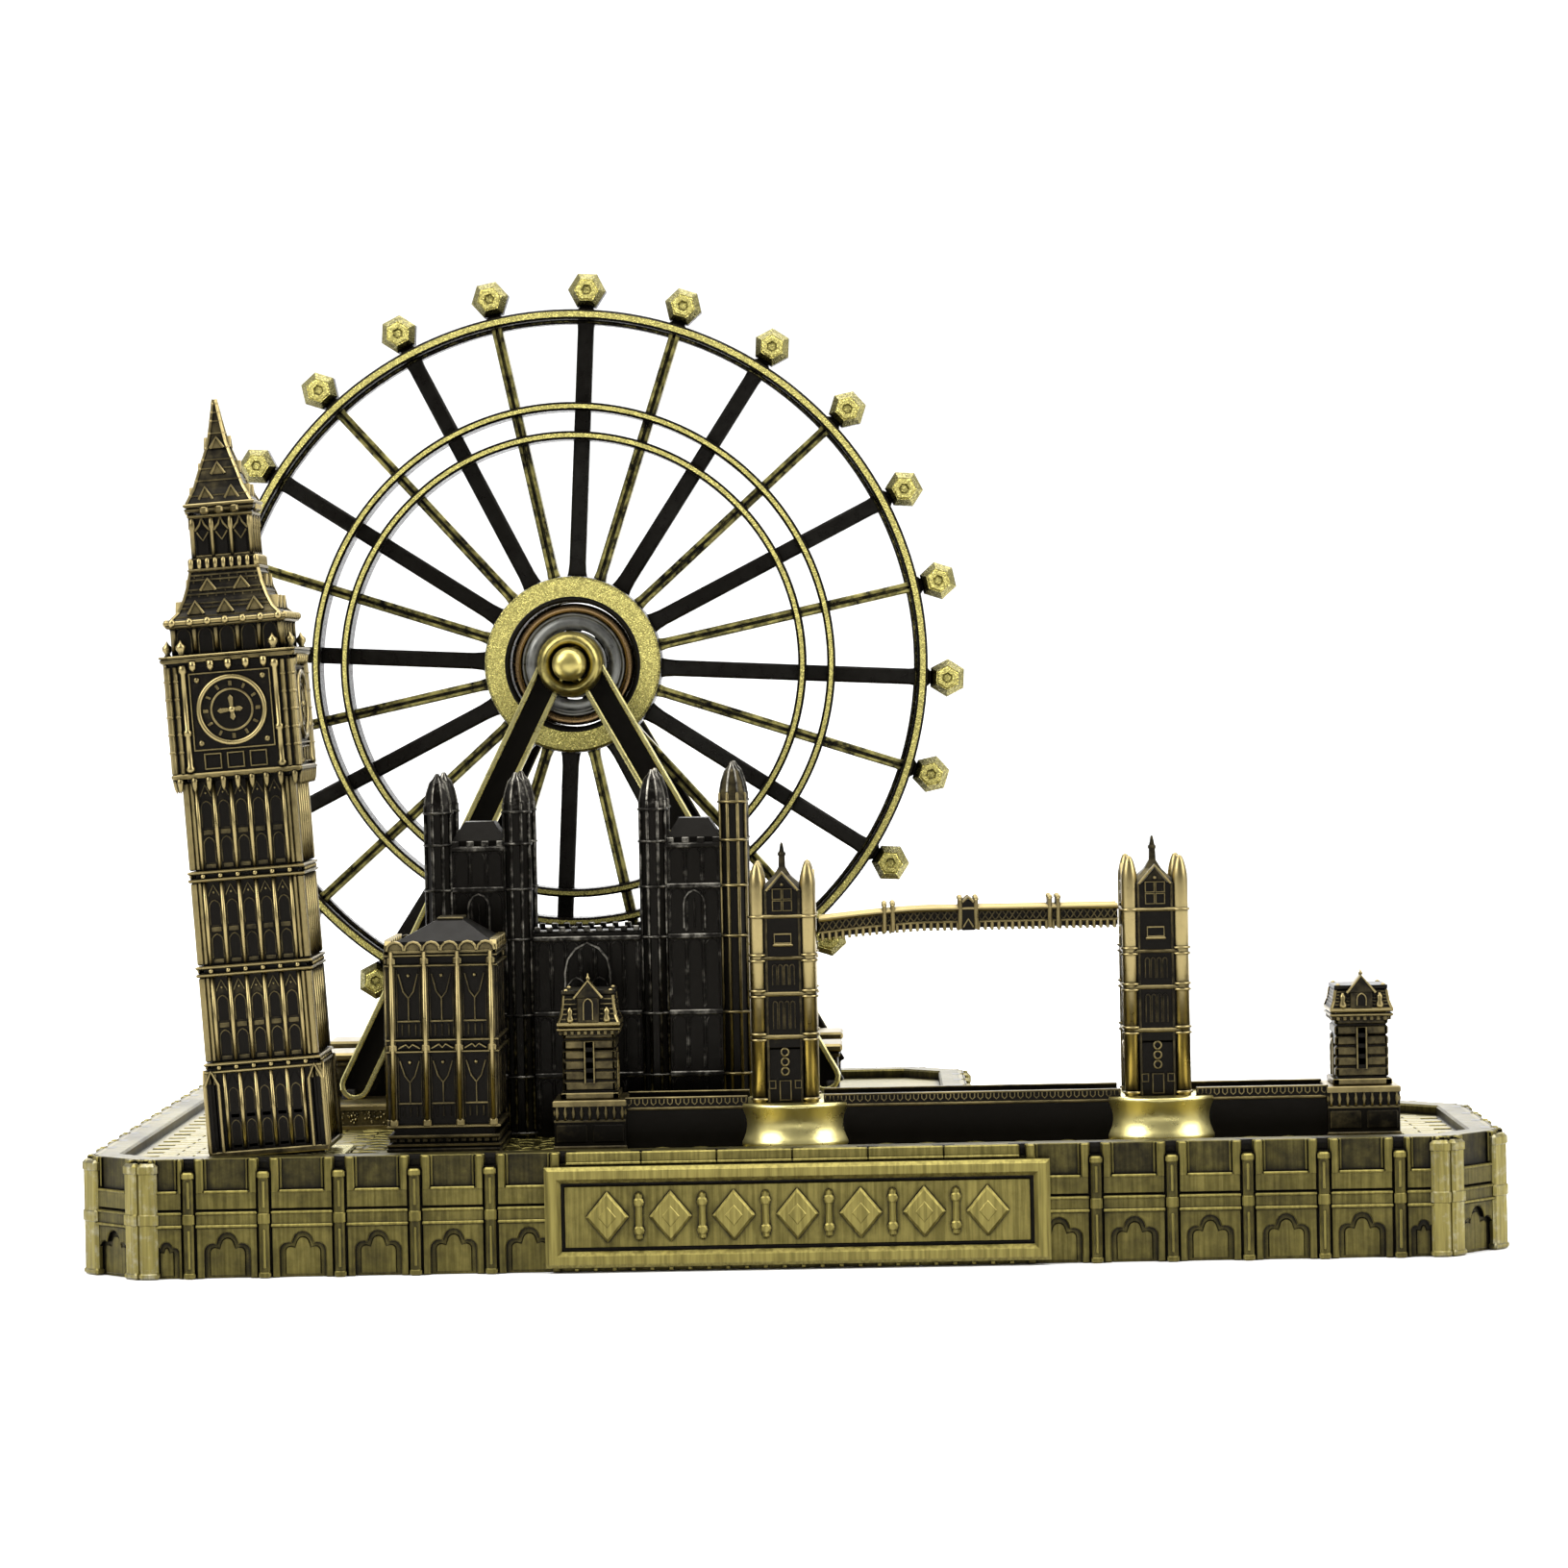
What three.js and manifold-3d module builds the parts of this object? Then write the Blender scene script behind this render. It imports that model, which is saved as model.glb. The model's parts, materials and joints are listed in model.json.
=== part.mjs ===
// City-skyline souvenir with a spinning observation wheel.
// Millimetres, +Z up, X to the right, Y away from the viewer.
// The origin is at the centre of the footprint, on the surface it stands on.
import * as THREE from 'three';
import { mergeVertices } from 'three/addons/utils/BufferGeometryUtils.js';
import Module from 'manifold-3d';

const wasm = await Module();
wasm.setup();

// ---- driving dimensions ----
const BASE_HALF_W = 84;        // outer wall faces, left and right
const FRONT_Y = -56;           // outer face of the front wall
const REAR_Y = 57;             // outer face of the rear wall of the wheel's extension
const RIGHT_PART_Y = -8;       // outer rear face of the shallow right-hand part
const EXT_X = 23;              // outer right face of the wheel's extension
const CHAMFER = 7.2;           // 45 degree corner cut
const WALL_H = 14;
const PARAPET_T = 4.1;
const FLOOR_Z = 12.8;
const FLOOR_T = 2.5;
const SKIRT_T = 2.4;           // wall thickness around the hollow underside
const BUTTRESS_PITCH = 8.85;
const BUTTRESS_W = 1.5;
const BUTTRESS_OUT = 0.5;
const SEAT = 0.05;             // hairline between two castings that rest on each other
const GAP = 0.3;               // free space round screws and pegs

const PLATE_W = 59;
const PLATE_H = 11.8;
const PLATE_X = 0.5;
const PLATE_Z0 = 0.6;
const PLATE_FRONT = -57.5;
const PLATE_FRAME = 1.9;
const LOZENGES = 7;
const LOZENGE_PITCH = 7.4;

const WHEEL_X = -28.5;
const WHEEL_Y = 15.3;
const HUB_Z = 71.3;
const RIM_R = 46.5;
const RIM_W = 1.3;
const RING_RADII = [34.4, 30.6];
const RING_W = 1.1;
const WHEEL_HALF_T = 3.2;
const HUB_R = 11.6;
const HUB_HALF_T = 4;
const SPOKES = 24;
const SPOKE_TURN = -3.2;       // degrees, the first spoke's lean to the right of upright
const CAPSULE_R = 49.1;        // radius of the circle through the capsules' centres
const CAPSULE_HALF = 2.55;

const BEARING_OD = 16;
const BEARING_BORE = 5;
const BEARING_W = 5;
const BALLS = 7;
const BALL_R = 1.4;
const BALL_PITCH_R = 5.3;

const PLINTH_TOP = 16.1;
const PLINTH_LEN = 67.4;
const PLINTH_FRONT = -11;
const PLINTH_REAR = 37.3;
const BLOCK_TOP = 21.7;
const FOOT_LEFT = 29;          // feet of an A-frame, left and right of the axle
const FOOT_RIGHT = 33;
const FOOT_OUT = 17.4;         // feet in front of (or behind) the wheel's middle plane
const BARREL_OUT = 8.6;        // the same for the legs' top ends
const LEG_TOP_X = 2;            // top ends, left and right of the axle
const LEG_W = 3.9;
const LEG_T = 2.4;

const TOWER_X = -62.4;
const TOWER_Y = -42.5;
const TOWER_LEAN = -3.5;       // degrees, the clock tower stands a little crooked
const TOWER_SLAB_T = 0.55;     // thin slab under it
const TOWER_LIFT = 0.48;       // from the slab to the middle of the leaning tower's foot

const BRIDGE_Y = -36.6;
const DECK_HALF_DEPTH = 4.5;
const DECK_TOP = 17.8;
const DECK_PARAPET_TOP = 19;
const MAIN_TOWER_X = [-0.85, 43.8];
const MAIN_TOWER_W = 8.6;
const ABUTMENT_X = [-24.4, 68.3];
const ABUTMENT_W = 8.8;
const PIER_X = [0.2, 44.1];
const PIER_HALF_W = 7.5;
const PIER_STRETCH = 1.1;      // along the river
const PIER_TOP = FLOOR_Z + 5.2;
const WALKWAY_TOP = 41.2;

// ---- materials ----
const metal = (color, roughness, metalness) =>
  new THREE.MeshStandardMaterial({ color, roughness, metalness });
const BRASS = metal(0x8a7632, 0.38, 0.9);
const DARK_BRASS = metal(0x3a3018, 0.42, 0.85);
const BLACKENED = metal(0x16130e, 0.4, 0.8);
const STEEL = metal(0x9a9a96, 0.25, 1);
const SCREW_ZINC = metal(0xb0b2b4, 0.35, 1);

// ---- solids ----
const rad = THREE.MathUtils.degToRad;

function toSolid(geometry) {
  const flat = geometry.clone();
  flat.deleteAttribute('normal');
  flat.deleteAttribute('uv');
  const merged = mergeVertices(flat, 1e-4);
  return new wasm.Manifold(new wasm.Mesh({
    numProp: 3,
    vertProperties: new Float32Array(merged.attributes.position.array),
    triVerts: new Uint32Array(merged.index.array),
  }));
}

function toGeometry(solid) {
  const mesh = solid.getMesh();
  const geometry = new THREE.BufferGeometry();
  geometry.setAttribute('position', new THREE.BufferAttribute(new Float32Array(mesh.vertProperties), 3));
  geometry.setIndex(new THREE.BufferAttribute(new Uint32Array(mesh.triVerts), 1));
  geometry.computeVertexNormals();
  return geometry;
}

const join = (solids) => solids.reduce((sum, next) => sum.add(next));
const cut = (solid, cutters) => cutters.reduce((rest, next) => rest.subtract(next), solid);
const at = (geometry, x, y, z) => toSolid(geometry.translate(x, y, z));

// A box from its lowest to its highest corner.
function box(x0, x1, y0, y1, z0, z1) {
  const geometry = new THREE.BoxGeometry(x1 - x0, y1 - y0, z1 - z0);
  return at(geometry, (x0 + x1) / 2, (y0 + y1) / 2, (z0 + z1) / 2);
}

// A rectangular block centred on (x, y), from z0 to z1.
const block = (x, y, w, d, z0, z1) => box(x - w / 2, x + w / 2, y - d / 2, y + d / 2, z0, z1);

// A square frustum: width w0 at z0, width w1 at z1.
function frustum(x, y, w0, w1, z0, z1, depthRatio = 1) {
  const toRadius = Math.SQRT1_2;
  const geometry = new THREE.CylinderGeometry(w1 * toRadius, w0 * toRadius, z1 - z0, 4, 1);
  geometry.rotateX(Math.PI / 2).rotateZ(Math.PI / 4).scale(1, depthRatio, 1);
  return at(geometry, x, y, (z0 + z1) / 2);
}

// An upright round or many-sided post.
function post(x, y, r0, r1, z0, z1, sides = 8) {
  const geometry = new THREE.CylinderGeometry(r1, r0, z1 - z0, sides, 1).rotateX(Math.PI / 2);
  return at(geometry, x, y, (z0 + z1) / 2);
}

// A solid turned about the Y direction through (x, y, z). The profile is a list of
// [radius, y] points that starts and ends on the axis, or a ring's closed outline.
function turned(profile, x, y, z, segments = 32) {
  const points = profile.map(([r, along]) => new THREE.Vector2(r, along));
  if (points[0].x > 0) points.push(points[0].clone());
  const area = points.reduce((sum, p, i) => sum + p.cross(points[(i + 1) % points.length]), 0);
  if (area < 0) points.reverse();
  return at(new THREE.LatheGeometry(points, segments), x, y, z);
}

// The same about the wheel's own axle.
const onAxle = (profile, segments) => turned(profile, WHEEL_X, WHEEL_Y, HUB_Z, segments);

// A turned sleeve with plain ends.
const sleeve = (r0, r1, y0, y1, segments) => onAxle([[r0, y0], [r1, y0], [r1, y1], [r0, y1]], segments);

// A closed outline [x, y] raised from z0 to z1.
function prism(outline, z0, z1) {
  const shape = new THREE.Shape(outline.map(([x, y]) => new THREE.Vector2(x, y)));
  const geometry = new THREE.ExtrudeGeometry(shape, { depth: z1 - z0, bevelEnabled: false });
  return at(geometry, 0, 0, z0);
}

// Moves every side of a counter-clockwise outline inwards by t.
function inset(outline, t) {
  const n = outline.length;
  return outline.map(([x, y], i) => {
    const [px, py] = outline[(i + n - 1) % n];
    const [qx, qy] = outline[(i + 1) % n];
    const before = new THREE.Vector2(x - px, y - py).normalize();
    const after = new THREE.Vector2(qx - x, qy - y).normalize();
    const normalSum = new THREE.Vector2(-before.y - after.y, before.x + after.x);
    const reach = t / (1 + before.dot(after));
    return [x + normalSum.x * reach, y + normalSum.y * reach];
  });
}

const figurine = new THREE.Group();

function addMesh(name, geometry, material) {
  const mesh = new THREE.Mesh(geometry, material);
  mesh.name = name;
  figurine.add(mesh);
  return mesh;
}

// ---- base tray ----
const FOOTPRINT = [
  [-BASE_HALF_W + CHAMFER, FRONT_Y], [BASE_HALF_W - CHAMFER, FRONT_Y],
  [BASE_HALF_W, FRONT_Y + CHAMFER], [BASE_HALF_W, RIGHT_PART_Y - CHAMFER],
  [BASE_HALF_W - CHAMFER, RIGHT_PART_Y], [EXT_X, RIGHT_PART_Y],
  [EXT_X, REAR_Y - CHAMFER], [EXT_X - CHAMFER, REAR_Y],
  [-BASE_HALF_W + CHAMFER, REAR_Y], [-BASE_HALF_W, REAR_Y - CHAMFER],
  [-BASE_HALF_W, FRONT_Y + CHAMFER],
];

// Screws: name, place, the top of their shank and the thing they hold.
const SCREW_SHANK_R = 1.1;
const SCREW_HEAD_R = 2.3;
const SCREWS = [
  { name: 'clock_tower_screw', x: TOWER_X, y: TOWER_Y, top: 17 },
  { name: 'palace_screw', x: -40.4, y: -36.5, top: 17.5 },
  { name: 'abbey_screw_left', x: -38.4, y: -19, top: 17.5 },
  { name: 'abbey_screw_right', x: -12.1, y: -19, top: 17.5 },
  { name: 'bridge_screw_left', x: ABUTMENT_X[0], y: BRIDGE_Y, top: 16.5 },
  { name: 'bridge_screw_middle', x: 22, y: BRIDGE_Y, top: 16.5 },
  { name: 'bridge_screw_right', x: ABUTMENT_X[1], y: BRIDGE_Y, top: 16.5 },
  { name: 'plinth_screw_left', x: WHEEL_X - 24, y: WHEEL_Y, top: 15.2 },
  { name: 'plinth_screw_right', x: WHEEL_X + 24, y: WHEEL_Y, top: 15.2 },
];

const screwHole = (s, z0) => post(s.x, s.y, SCREW_SHANK_R + GAP, SCREW_SHANK_R + GAP, z0, s.top + GAP, 8);
const holesFor = (word) => SCREWS.filter((s) => s.name.startsWith(word)).map((s) => screwHole(s, FLOOR_Z - 1));

// Upright ribs along a straight wall from (x0, y0) to (x1, y1), the outside on its right hand.
function buttresses(x0, y0, x1, y1, firstAtMiddle) {
  const length = Math.hypot(x1 - x0, y1 - y0);
  const count = Math.floor((length - 2 * BUTTRESS_W) / BUTTRESS_PITCH);
  const odd = firstAtMiddle ? 0 : 0.5;
  const ribs = [];
  for (let i = -count; i <= count; i += 1) {
    const along = length / 2 + (i + odd) * BUTTRESS_PITCH;
    if (along < BUTTRESS_W || along > length - BUTTRESS_W) continue;
    const rib = new THREE.BoxGeometry(BUTTRESS_W, 2 * BUTTRESS_OUT, WALL_H - 1.6);
    rib.rotateZ(Math.atan2(y1 - y0, x1 - x0));
    const t = along / length;
    ribs.push(at(rib, x0 + (x1 - x0) * t, y0 + (y1 - y0) * t, (WALL_H - 1.6) / 2));
  }
  return ribs;
}

// Square-edged pilasters that clasp the chamfered corners.
function cornerPilasters() {
  const w = 2.4;
  return FOOTPRINT.filter(([x, y]) => !(x === EXT_X && y === RIGHT_PART_Y))
    .map(([x, y]) => {
      const cx = THREE.MathUtils.clamp(x, -BASE_HALF_W - BUTTRESS_OUT + w / 2, BASE_HALF_W + BUTTRESS_OUT - w / 2);
      const cy = THREE.MathUtils.clamp(y, FRONT_Y - BUTTRESS_OUT + w / 2, REAR_Y + BUTTRESS_OUT - w / 2);
      return post(cx, cy, w / 2, w / 2, 0, WALL_H - 0.8, 8);
    });
}

function makeBaseTray() {
  const ribs = FOOTPRINT.flatMap(([x, y], i) => {
    const [qx, qy] = FOOTPRINT[(i + 1) % FOOTPRINT.length];
    const frontWall = i === 0;
    return buttresses(x, y, qx, qy, frontWall);
  });
  const hiddenByPlate = box(PLATE_X - PLATE_W / 2 - 1, PLATE_X + PLATE_W / 2 + 1, FRONT_Y - 3, FRONT_Y, -1, WALL_H);
  const relief = cut(join([...ribs, ...cornerPilasters()]), [hiddenByPlate]);
  const body = join([prism(FOOTPRINT, 0, WALL_H), relief]);
  return cut(body, [
    prism(inset(FOOTPRINT, PARAPET_T), FLOOR_Z, WALL_H + 1),
    prism(inset(FOOTPRINT, SKIRT_T), -1, FLOOR_Z - FLOOR_T),
    ...SCREWS.map((s) => screwHole({ ...s, top: FLOOR_Z + 1 }, FLOOR_Z - FLOOR_T - 1)),
  ]);
}

// ---- name plate: mitred frame, sunk field, plain lozenge row ----
function makeNamePlate() {
  const x0 = PLATE_X - PLATE_W / 2;
  const x1 = PLATE_X + PLATE_W / 2;
  const z1 = PLATE_Z0 + PLATE_H;
  const slab = box(x0, x1, PLATE_FRONT, FRONT_Y - SEAT, PLATE_Z0, z1);
  const field = box(x0 + PLATE_FRAME, x1 - PLATE_FRAME, PLATE_FRONT - 1, PLATE_FRONT + 0.8,
    PLATE_Z0 + PLATE_FRAME, z1 - PLATE_FRAME);
  const lozenges = [];
  for (let i = 0; i < LOZENGES; i += 1) {
    const lozenge = new THREE.CylinderGeometry(2.6, 2.6, 0.8, 4, 1);
    const x = PLATE_X + (i - (LOZENGES - 1) / 2) * LOZENGE_PITCH;
    lozenges.push(at(lozenge, x, PLATE_FRONT + 0.55, PLATE_Z0 + PLATE_H / 2));
  }
  return join([cut(slab, [field]), ...lozenges]);
}

// ---- wheel plinth ----
function makePlinth() {
  const half = PLINTH_LEN / 2;
  const parts = [box(WHEEL_X - half, WHEEL_X + half, PLINTH_FRONT, PLINTH_REAR, FLOOR_Z + SEAT, PLINTH_TOP)];
  for (const side of [-1, 1]) {
    const y = WHEEL_Y + side * 10;
    parts.push(block(WHEEL_X, y, PLINTH_LEN, 8, PLINTH_TOP - 0.5, BLOCK_TOP - 1.4));
    parts.push(block(WHEEL_X, y, PLINTH_LEN + 1.4, 8.6, BLOCK_TOP - 1.5, BLOCK_TOP));
  }
  const pegHoles = [];
  for (const side of [-1, 1]) {
    for (const foot of [-FOOT_LEFT, FOOT_RIGHT]) {
      pegHoles.push(post(WHEEL_X + foot, WHEEL_Y + side * FOOT_OUT, 1 + GAP, 1 + GAP, 14, PLINTH_TOP + 1, 10));
    }
  }
  return cut(join(parts), [...pegHoles, ...holesFor('plinth')]);
}

// ---- A-frame: side -1 is the front one, +1 the rear one ----
const BARREL_R = 4.35;
const BARREL_NEAR = 5.2;       // barrel's ends, from the wheel's middle plane
const BARREL_FAR = 12;
const PIN_R = 2.2;

// One channel-section leg, from the foot to the barrel, in the A-frame's own place.
function makeLeg(footX, side) {
  const foot = new THREE.Vector3(WHEEL_X + footX, WHEEL_Y + side * FOOT_OUT, PLINTH_TOP + SEAT);
  const top = new THREE.Vector3(WHEEL_X + Math.sign(footX) * LEG_TOP_X, WHEEL_Y + side * BARREL_OUT, HUB_Z);
  const along = top.clone().sub(foot);
  const length = along.length();
  const zAxis = along.clone().normalize();
  const xAxis = new THREE.Vector3(0, -side, 0).cross(zAxis).normalize().multiplyScalar(-1);
  const yAxis = zAxis.clone().cross(xAxis);
  const place = new THREE.Matrix4().makeBasis(xAxis, yAxis, zAxis).setPosition(foot);
  const bar = new THREE.BoxGeometry(LEG_W, LEG_T, length + 2).translate(0, 0, length / 2 - 1);
  const outward = yAxis.y * side > 0 ? 1 : -1;
  const channelLength = length - 8.5;
  const channel = new THREE.BoxGeometry(LEG_W - 1.3, 1.2, channelLength)
    .translate(0, outward * (LEG_T / 2), channelLength / 2 + 1.6);
  return cut(toSolid(bar.applyMatrix4(place)), [toSolid(channel.applyMatrix4(place))]);
}

function makeAFrame(side) {
  const near = side * BARREL_NEAR;
  const far = side * BARREL_FAR;
  const barrel = onAxle([
    [0, near], [BARREL_R, near], [BARREL_R, far - side * 0.9], [BARREL_R - 0.5, far], [0, far],
  ], 24);
  const web = makeWeb(side);
  const below = block(WHEEL_X, WHEEL_Y + side * FOOT_OUT, 90, 9, 10, PLINTH_TOP + SEAT);
  const legs = cut(join([makeLeg(-FOOT_LEFT, side), makeLeg(FOOT_RIGHT, side)]), [below]);
  const pegs = [-FOOT_LEFT, FOOT_RIGHT].map((foot) =>
    post(WHEEL_X + foot, WHEEL_Y + side * FOOT_OUT, 1, 1, 14.4, PLINTH_TOP + 1.5, 10));
  const bore = sleeve(0, PIN_R + GAP, -30, 30, 16);
  return cut(join([legs, ...pegs, barrel, web]), [bore]);
}

// The small web that ties the two legs just under the barrel.
function makeWeb(side) {
  const drop = 7.5;
  const share = drop / (HUB_Z - PLINTH_TOP);
  const y = WHEEL_Y + side * (BARREL_OUT + (FOOT_OUT - BARREL_OUT) * share);
  return box(WHEEL_X - LEG_TOP_X - FOOT_LEFT * share, WHEEL_X + LEG_TOP_X + FOOT_RIGHT * share, y - 0.7, y + 0.7,
    HUB_Z - drop - 0.6, HUB_Z - drop + 0.6);
}

// ---- axle and its fittings ----
function makeAxle() {
  const front = -(BARREL_FAR + 1.9);
  return onAxle([
    [0, front], [1.4, front + 0.2], [PIN_R - 0.1, front + 0.9], [PIN_R, front + 1.4],
    [PIN_R, BARREL_FAR + 2.2], [0, BARREL_FAR + 2.2],
  ], 16);
}

const makeAxleCap = () => onAxle([
  [0, BARREL_FAR + 2.5], [PIN_R + GAP, BARREL_FAR + 2.5], [PIN_R + GAP, BARREL_FAR + 0.3],
  [3.4, BARREL_FAR + 0.3], [3.4, BARREL_FAR + 2.6], [2.6, BARREL_FAR + 3.4], [0, BARREL_FAR + 3.7],
], 16);

const makeSpacer = (side) => {
  const ends = [side * (BEARING_W / 2 + SEAT), side * (BARREL_NEAR - SEAT)].sort((a, b) => a - b);
  return sleeve(PIN_R + GAP, 3.6, ends[0], ends[1], 16);
};

// ---- ball bearing ----
const RACE_GROOVE_R = BALL_R + 0.1;
const INNER_LAND_R = 4.4;
const OUTER_LAND_R = 6.2;
const SHIELD_SEAT_R = 6.9;
const CAGE_HALF_W = 1.8;

// Points of a raceway groove, an arc about the ball circle; outward is +1 for the outer ring.
function grooveArc(outward, landR) {
  const edge = Math.asin(THREE.MathUtils.clamp(Math.abs(landR - BALL_PITCH_R) / RACE_GROOVE_R, 0, 1));
  const points = [];
  const steps = 4;
  for (let i = 0; i <= steps; i += 1) {
    const angle = edge + ((Math.PI - 2 * edge) * i) / steps;
    points.push([BALL_PITCH_R + outward * RACE_GROOVE_R * Math.sin(angle), -RACE_GROOVE_R * Math.cos(angle)]);
  }
  return points;
}

function makeInnerRing() {
  const h = BEARING_W / 2;
  return onAxle([
    [BEARING_BORE / 2, -h], [INNER_LAND_R, -h], ...grooveArc(-1, INNER_LAND_R),
    [INNER_LAND_R, h], [BEARING_BORE / 2, h],
  ]);
}

function makeOuterRing() {
  const h = BEARING_W / 2;
  const r = BEARING_OD / 2;
  const seat = h - 0.7;
  return onAxle([
    [r, h], [SHIELD_SEAT_R, h], [SHIELD_SEAT_R, seat], [OUTER_LAND_R, seat],
    ...grooveArc(1, OUTER_LAND_R).reverse(),
    [OUTER_LAND_R, -seat], [SHIELD_SEAT_R, -seat], [SHIELD_SEAT_R, -h], [r, -h],
  ]);
}

const makeShield = (side) => {
  const ends = [side * (BEARING_W / 2 - 0.5), side * (BEARING_W / 2 - 0.1)].sort((a, b) => a - b);
  return sleeve(INNER_LAND_R + 0.2, SHIELD_SEAT_R - 0.1, ends[0], ends[1], 32);
};

const ballAngle = (i) => (2 * Math.PI * i) / BALLS;

function makeBall(i) {
  const a = ballAngle(i);
  return at(new THREE.IcosahedronGeometry(BALL_R, 1),
    WHEEL_X + BALL_PITCH_R * Math.sin(a), WHEEL_Y, HUB_Z + BALL_PITCH_R * Math.cos(a));
}

function makeCage() {
  const band = sleeve(BALL_PITCH_R - 0.5, BALL_PITCH_R + 0.5, -CAGE_HALF_W, CAGE_HALF_W, 28);
  const pockets = [];
  for (let i = 0; i < BALLS; i += 1) {
    const a = ballAngle(i);
    const pocket = new THREE.CylinderGeometry(BALL_R + 0.08, BALL_R + 0.08, 4, 12, 1);
    pocket.rotateX(Math.PI / 2).translate(0, 0, BALL_PITCH_R).rotateY(a);
    // The near side of each pocket is open, so the cage snaps over the balls.
    const mouth = new THREE.BoxGeometry(2 * BALL_R - 0.4, 4, 4).translate(0, 2, BALL_PITCH_R).rotateY(a);
    pockets.push(at(pocket, WHEEL_X, WHEEL_Y, HUB_Z), at(mouth, WHEEL_X, WHEEL_Y, HUB_Z));
  }
  return cut(band, pockets);
}

// ---- wheel ----
function makeSpoke(i) {
  const thick = i % 2 === 0;
  const w = thick ? 2.1 : 1.35;
  const halfT = thick ? 1.1 : 1.6;
  const spoke = new THREE.BoxGeometry(w, 2 * halfT, RIM_R - HUB_R + 0.4);
  spoke.translate(0, 0, (RIM_R + HUB_R) / 2 - 0.4);
  spoke.rotateY(rad((360 / SPOKES) * i - SPOKE_TURN));
  return at(spoke, WHEEL_X, WHEEL_Y, HUB_Z);
}

// A capsule: a six-sided barrel with faceted ends, on a short stub from the rim.
function makeCapsule(i) {
  const angle = rad((360 / SPOKES) * i - SPOKE_TURN);
  const r = CAPSULE_HALF;
  const ball = new THREE.LatheGeometry([
    new THREE.Vector2(0, -r), new THREE.Vector2(0.62 * r, -r), new THREE.Vector2(r, 0),
    new THREE.Vector2(0.62 * r, r), new THREE.Vector2(0, r),
  ], 6);
  ball.rotateY(Math.PI / 6).translate(0, 0, CAPSULE_R).rotateY(angle);
  const stub = new THREE.BoxGeometry(1.8, 1.8, CAPSULE_R - RIM_R + 0.6);
  stub.translate(0, 0, (CAPSULE_R + RIM_R - 0.6) / 2).rotateY(angle);
  return join([at(ball, WHEEL_X, WHEEL_Y, HUB_Z), at(stub, WHEEL_X, WHEEL_Y, HUB_Z)]);
}

function makeWheel() {
  const hub = sleeve(BEARING_OD / 2 + GAP, HUB_R, -HUB_HALF_T, HUB_HALF_T, 32);
  const rim = sleeve(RIM_R - RIM_W, RIM_R, -WHEEL_HALF_T, WHEEL_HALF_T, 72);
  const rings = RING_RADII.map((r) => sleeve(r - RING_W, r, -WHEEL_HALF_T + 0.4, WHEEL_HALF_T - 0.4, 48));
  const spokes = [];
  const capsules = [];
  for (let i = 0; i < SPOKES; i += 1) {
    spokes.push(makeSpoke(i));
    capsules.push(makeCapsule(i));
  }
  return join([hub, rim, ...rings, ...spokes, ...capsules]);
}

// ---- clock tower, built upright on its own axis and then leaned ----
const SHAFT_W = 13.2;
const CLOCK_W = 15.2;
const BASE_STAGE_TOP = 10.4;
const STOREY_BANDS = [10.65, 22.15, 33.4];
const CLOCK_Z0 = 45.3;
const CLOCK_Z1 = 59.6;
const EAVES_Z = 63.5;
const ROOF_TOP = 69.6;
const LANTERN_TOP = 76;
const SPIRE_Z0 = 77.6;
const TOWER_H = 89.9;
const DIAL_Z = 52.85;
const DIAL_R = 4.2;

function makeClockTower() {
  const parts = [
    block(0, 0, 14.2, 14.2, 0, BASE_STAGE_TOP),
    block(0, 0, SHAFT_W, SHAFT_W, BASE_STAGE_TOP - 0.2, CLOCK_Z0),
    ...STOREY_BANDS.map((z) => block(0, 0, SHAFT_W + 0.8, SHAFT_W + 0.8, z - 0.6, z + 0.6)),
    frustum(0, 0, SHAFT_W, CLOCK_W + 0.8, CLOCK_Z0 - 1.2, CLOCK_Z0),
    block(0, 0, CLOCK_W, CLOCK_W, CLOCK_Z0 - 0.1, CLOCK_Z1 - 0.8),
    block(0, 0, CLOCK_W + 1, CLOCK_W + 1, CLOCK_Z1 - 0.9, CLOCK_Z1),
    block(0, 0, 12.8, 12.8, CLOCK_Z1 - 0.1, EAVES_Z - 0.9),
    block(0, 0, 14.4, 14.4, EAVES_Z - 1, EAVES_Z),
    frustum(0, 0, 13.6, 10.4, EAVES_Z - 0.05, EAVES_Z + 2.4),
    frustum(0, 0, 10.4, 8, EAVES_Z + 2.35, ROOF_TOP),
    block(0, 0, 8.4, 8.4, ROOF_TOP - 0.1, ROOF_TOP + 1.3),
    block(0, 0, 7.4, 7.4, ROOF_TOP + 1.2, LANTERN_TOP + 0.1),
    block(0, 0, 8.9, 8.9, LANTERN_TOP, SPIRE_Z0),
    frustum(0, 0, 8.2, 2.9, SPIRE_Z0 - 0.05, 85.4),
    frustum(0, 0, 2.9, 0.3, 85.35, TOWER_H),
  ];
  for (const turn of [0, 90, 180, 270]) {
    const dial = new THREE.CylinderGeometry(DIAL_R, DIAL_R, 1, 20, 1);
    dial.translate(0, -CLOCK_W / 2, DIAL_Z).rotateZ(rad(turn));
    parts.push(toSolid(dial));
    for (const side of [-1, 1]) {
      const corner = new THREE.BoxGeometry(1.3, 1.3, CLOCK_Z1 - CLOCK_Z0 + 1.6);
      corner.translate(side * 5.4, -CLOCK_W / 2, (CLOCK_Z1 + CLOCK_Z0) / 2 + 0.6).rotateZ(rad(turn));
      parts.push(toSolid(corner));
    }
  }
  const hole = post(0, 0, SCREW_SHANK_R + 2 * GAP, SCREW_SHANK_R + 2 * GAP, -1, 4.6, 8);
  return cut(join(parts), [hole]);
}

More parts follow.
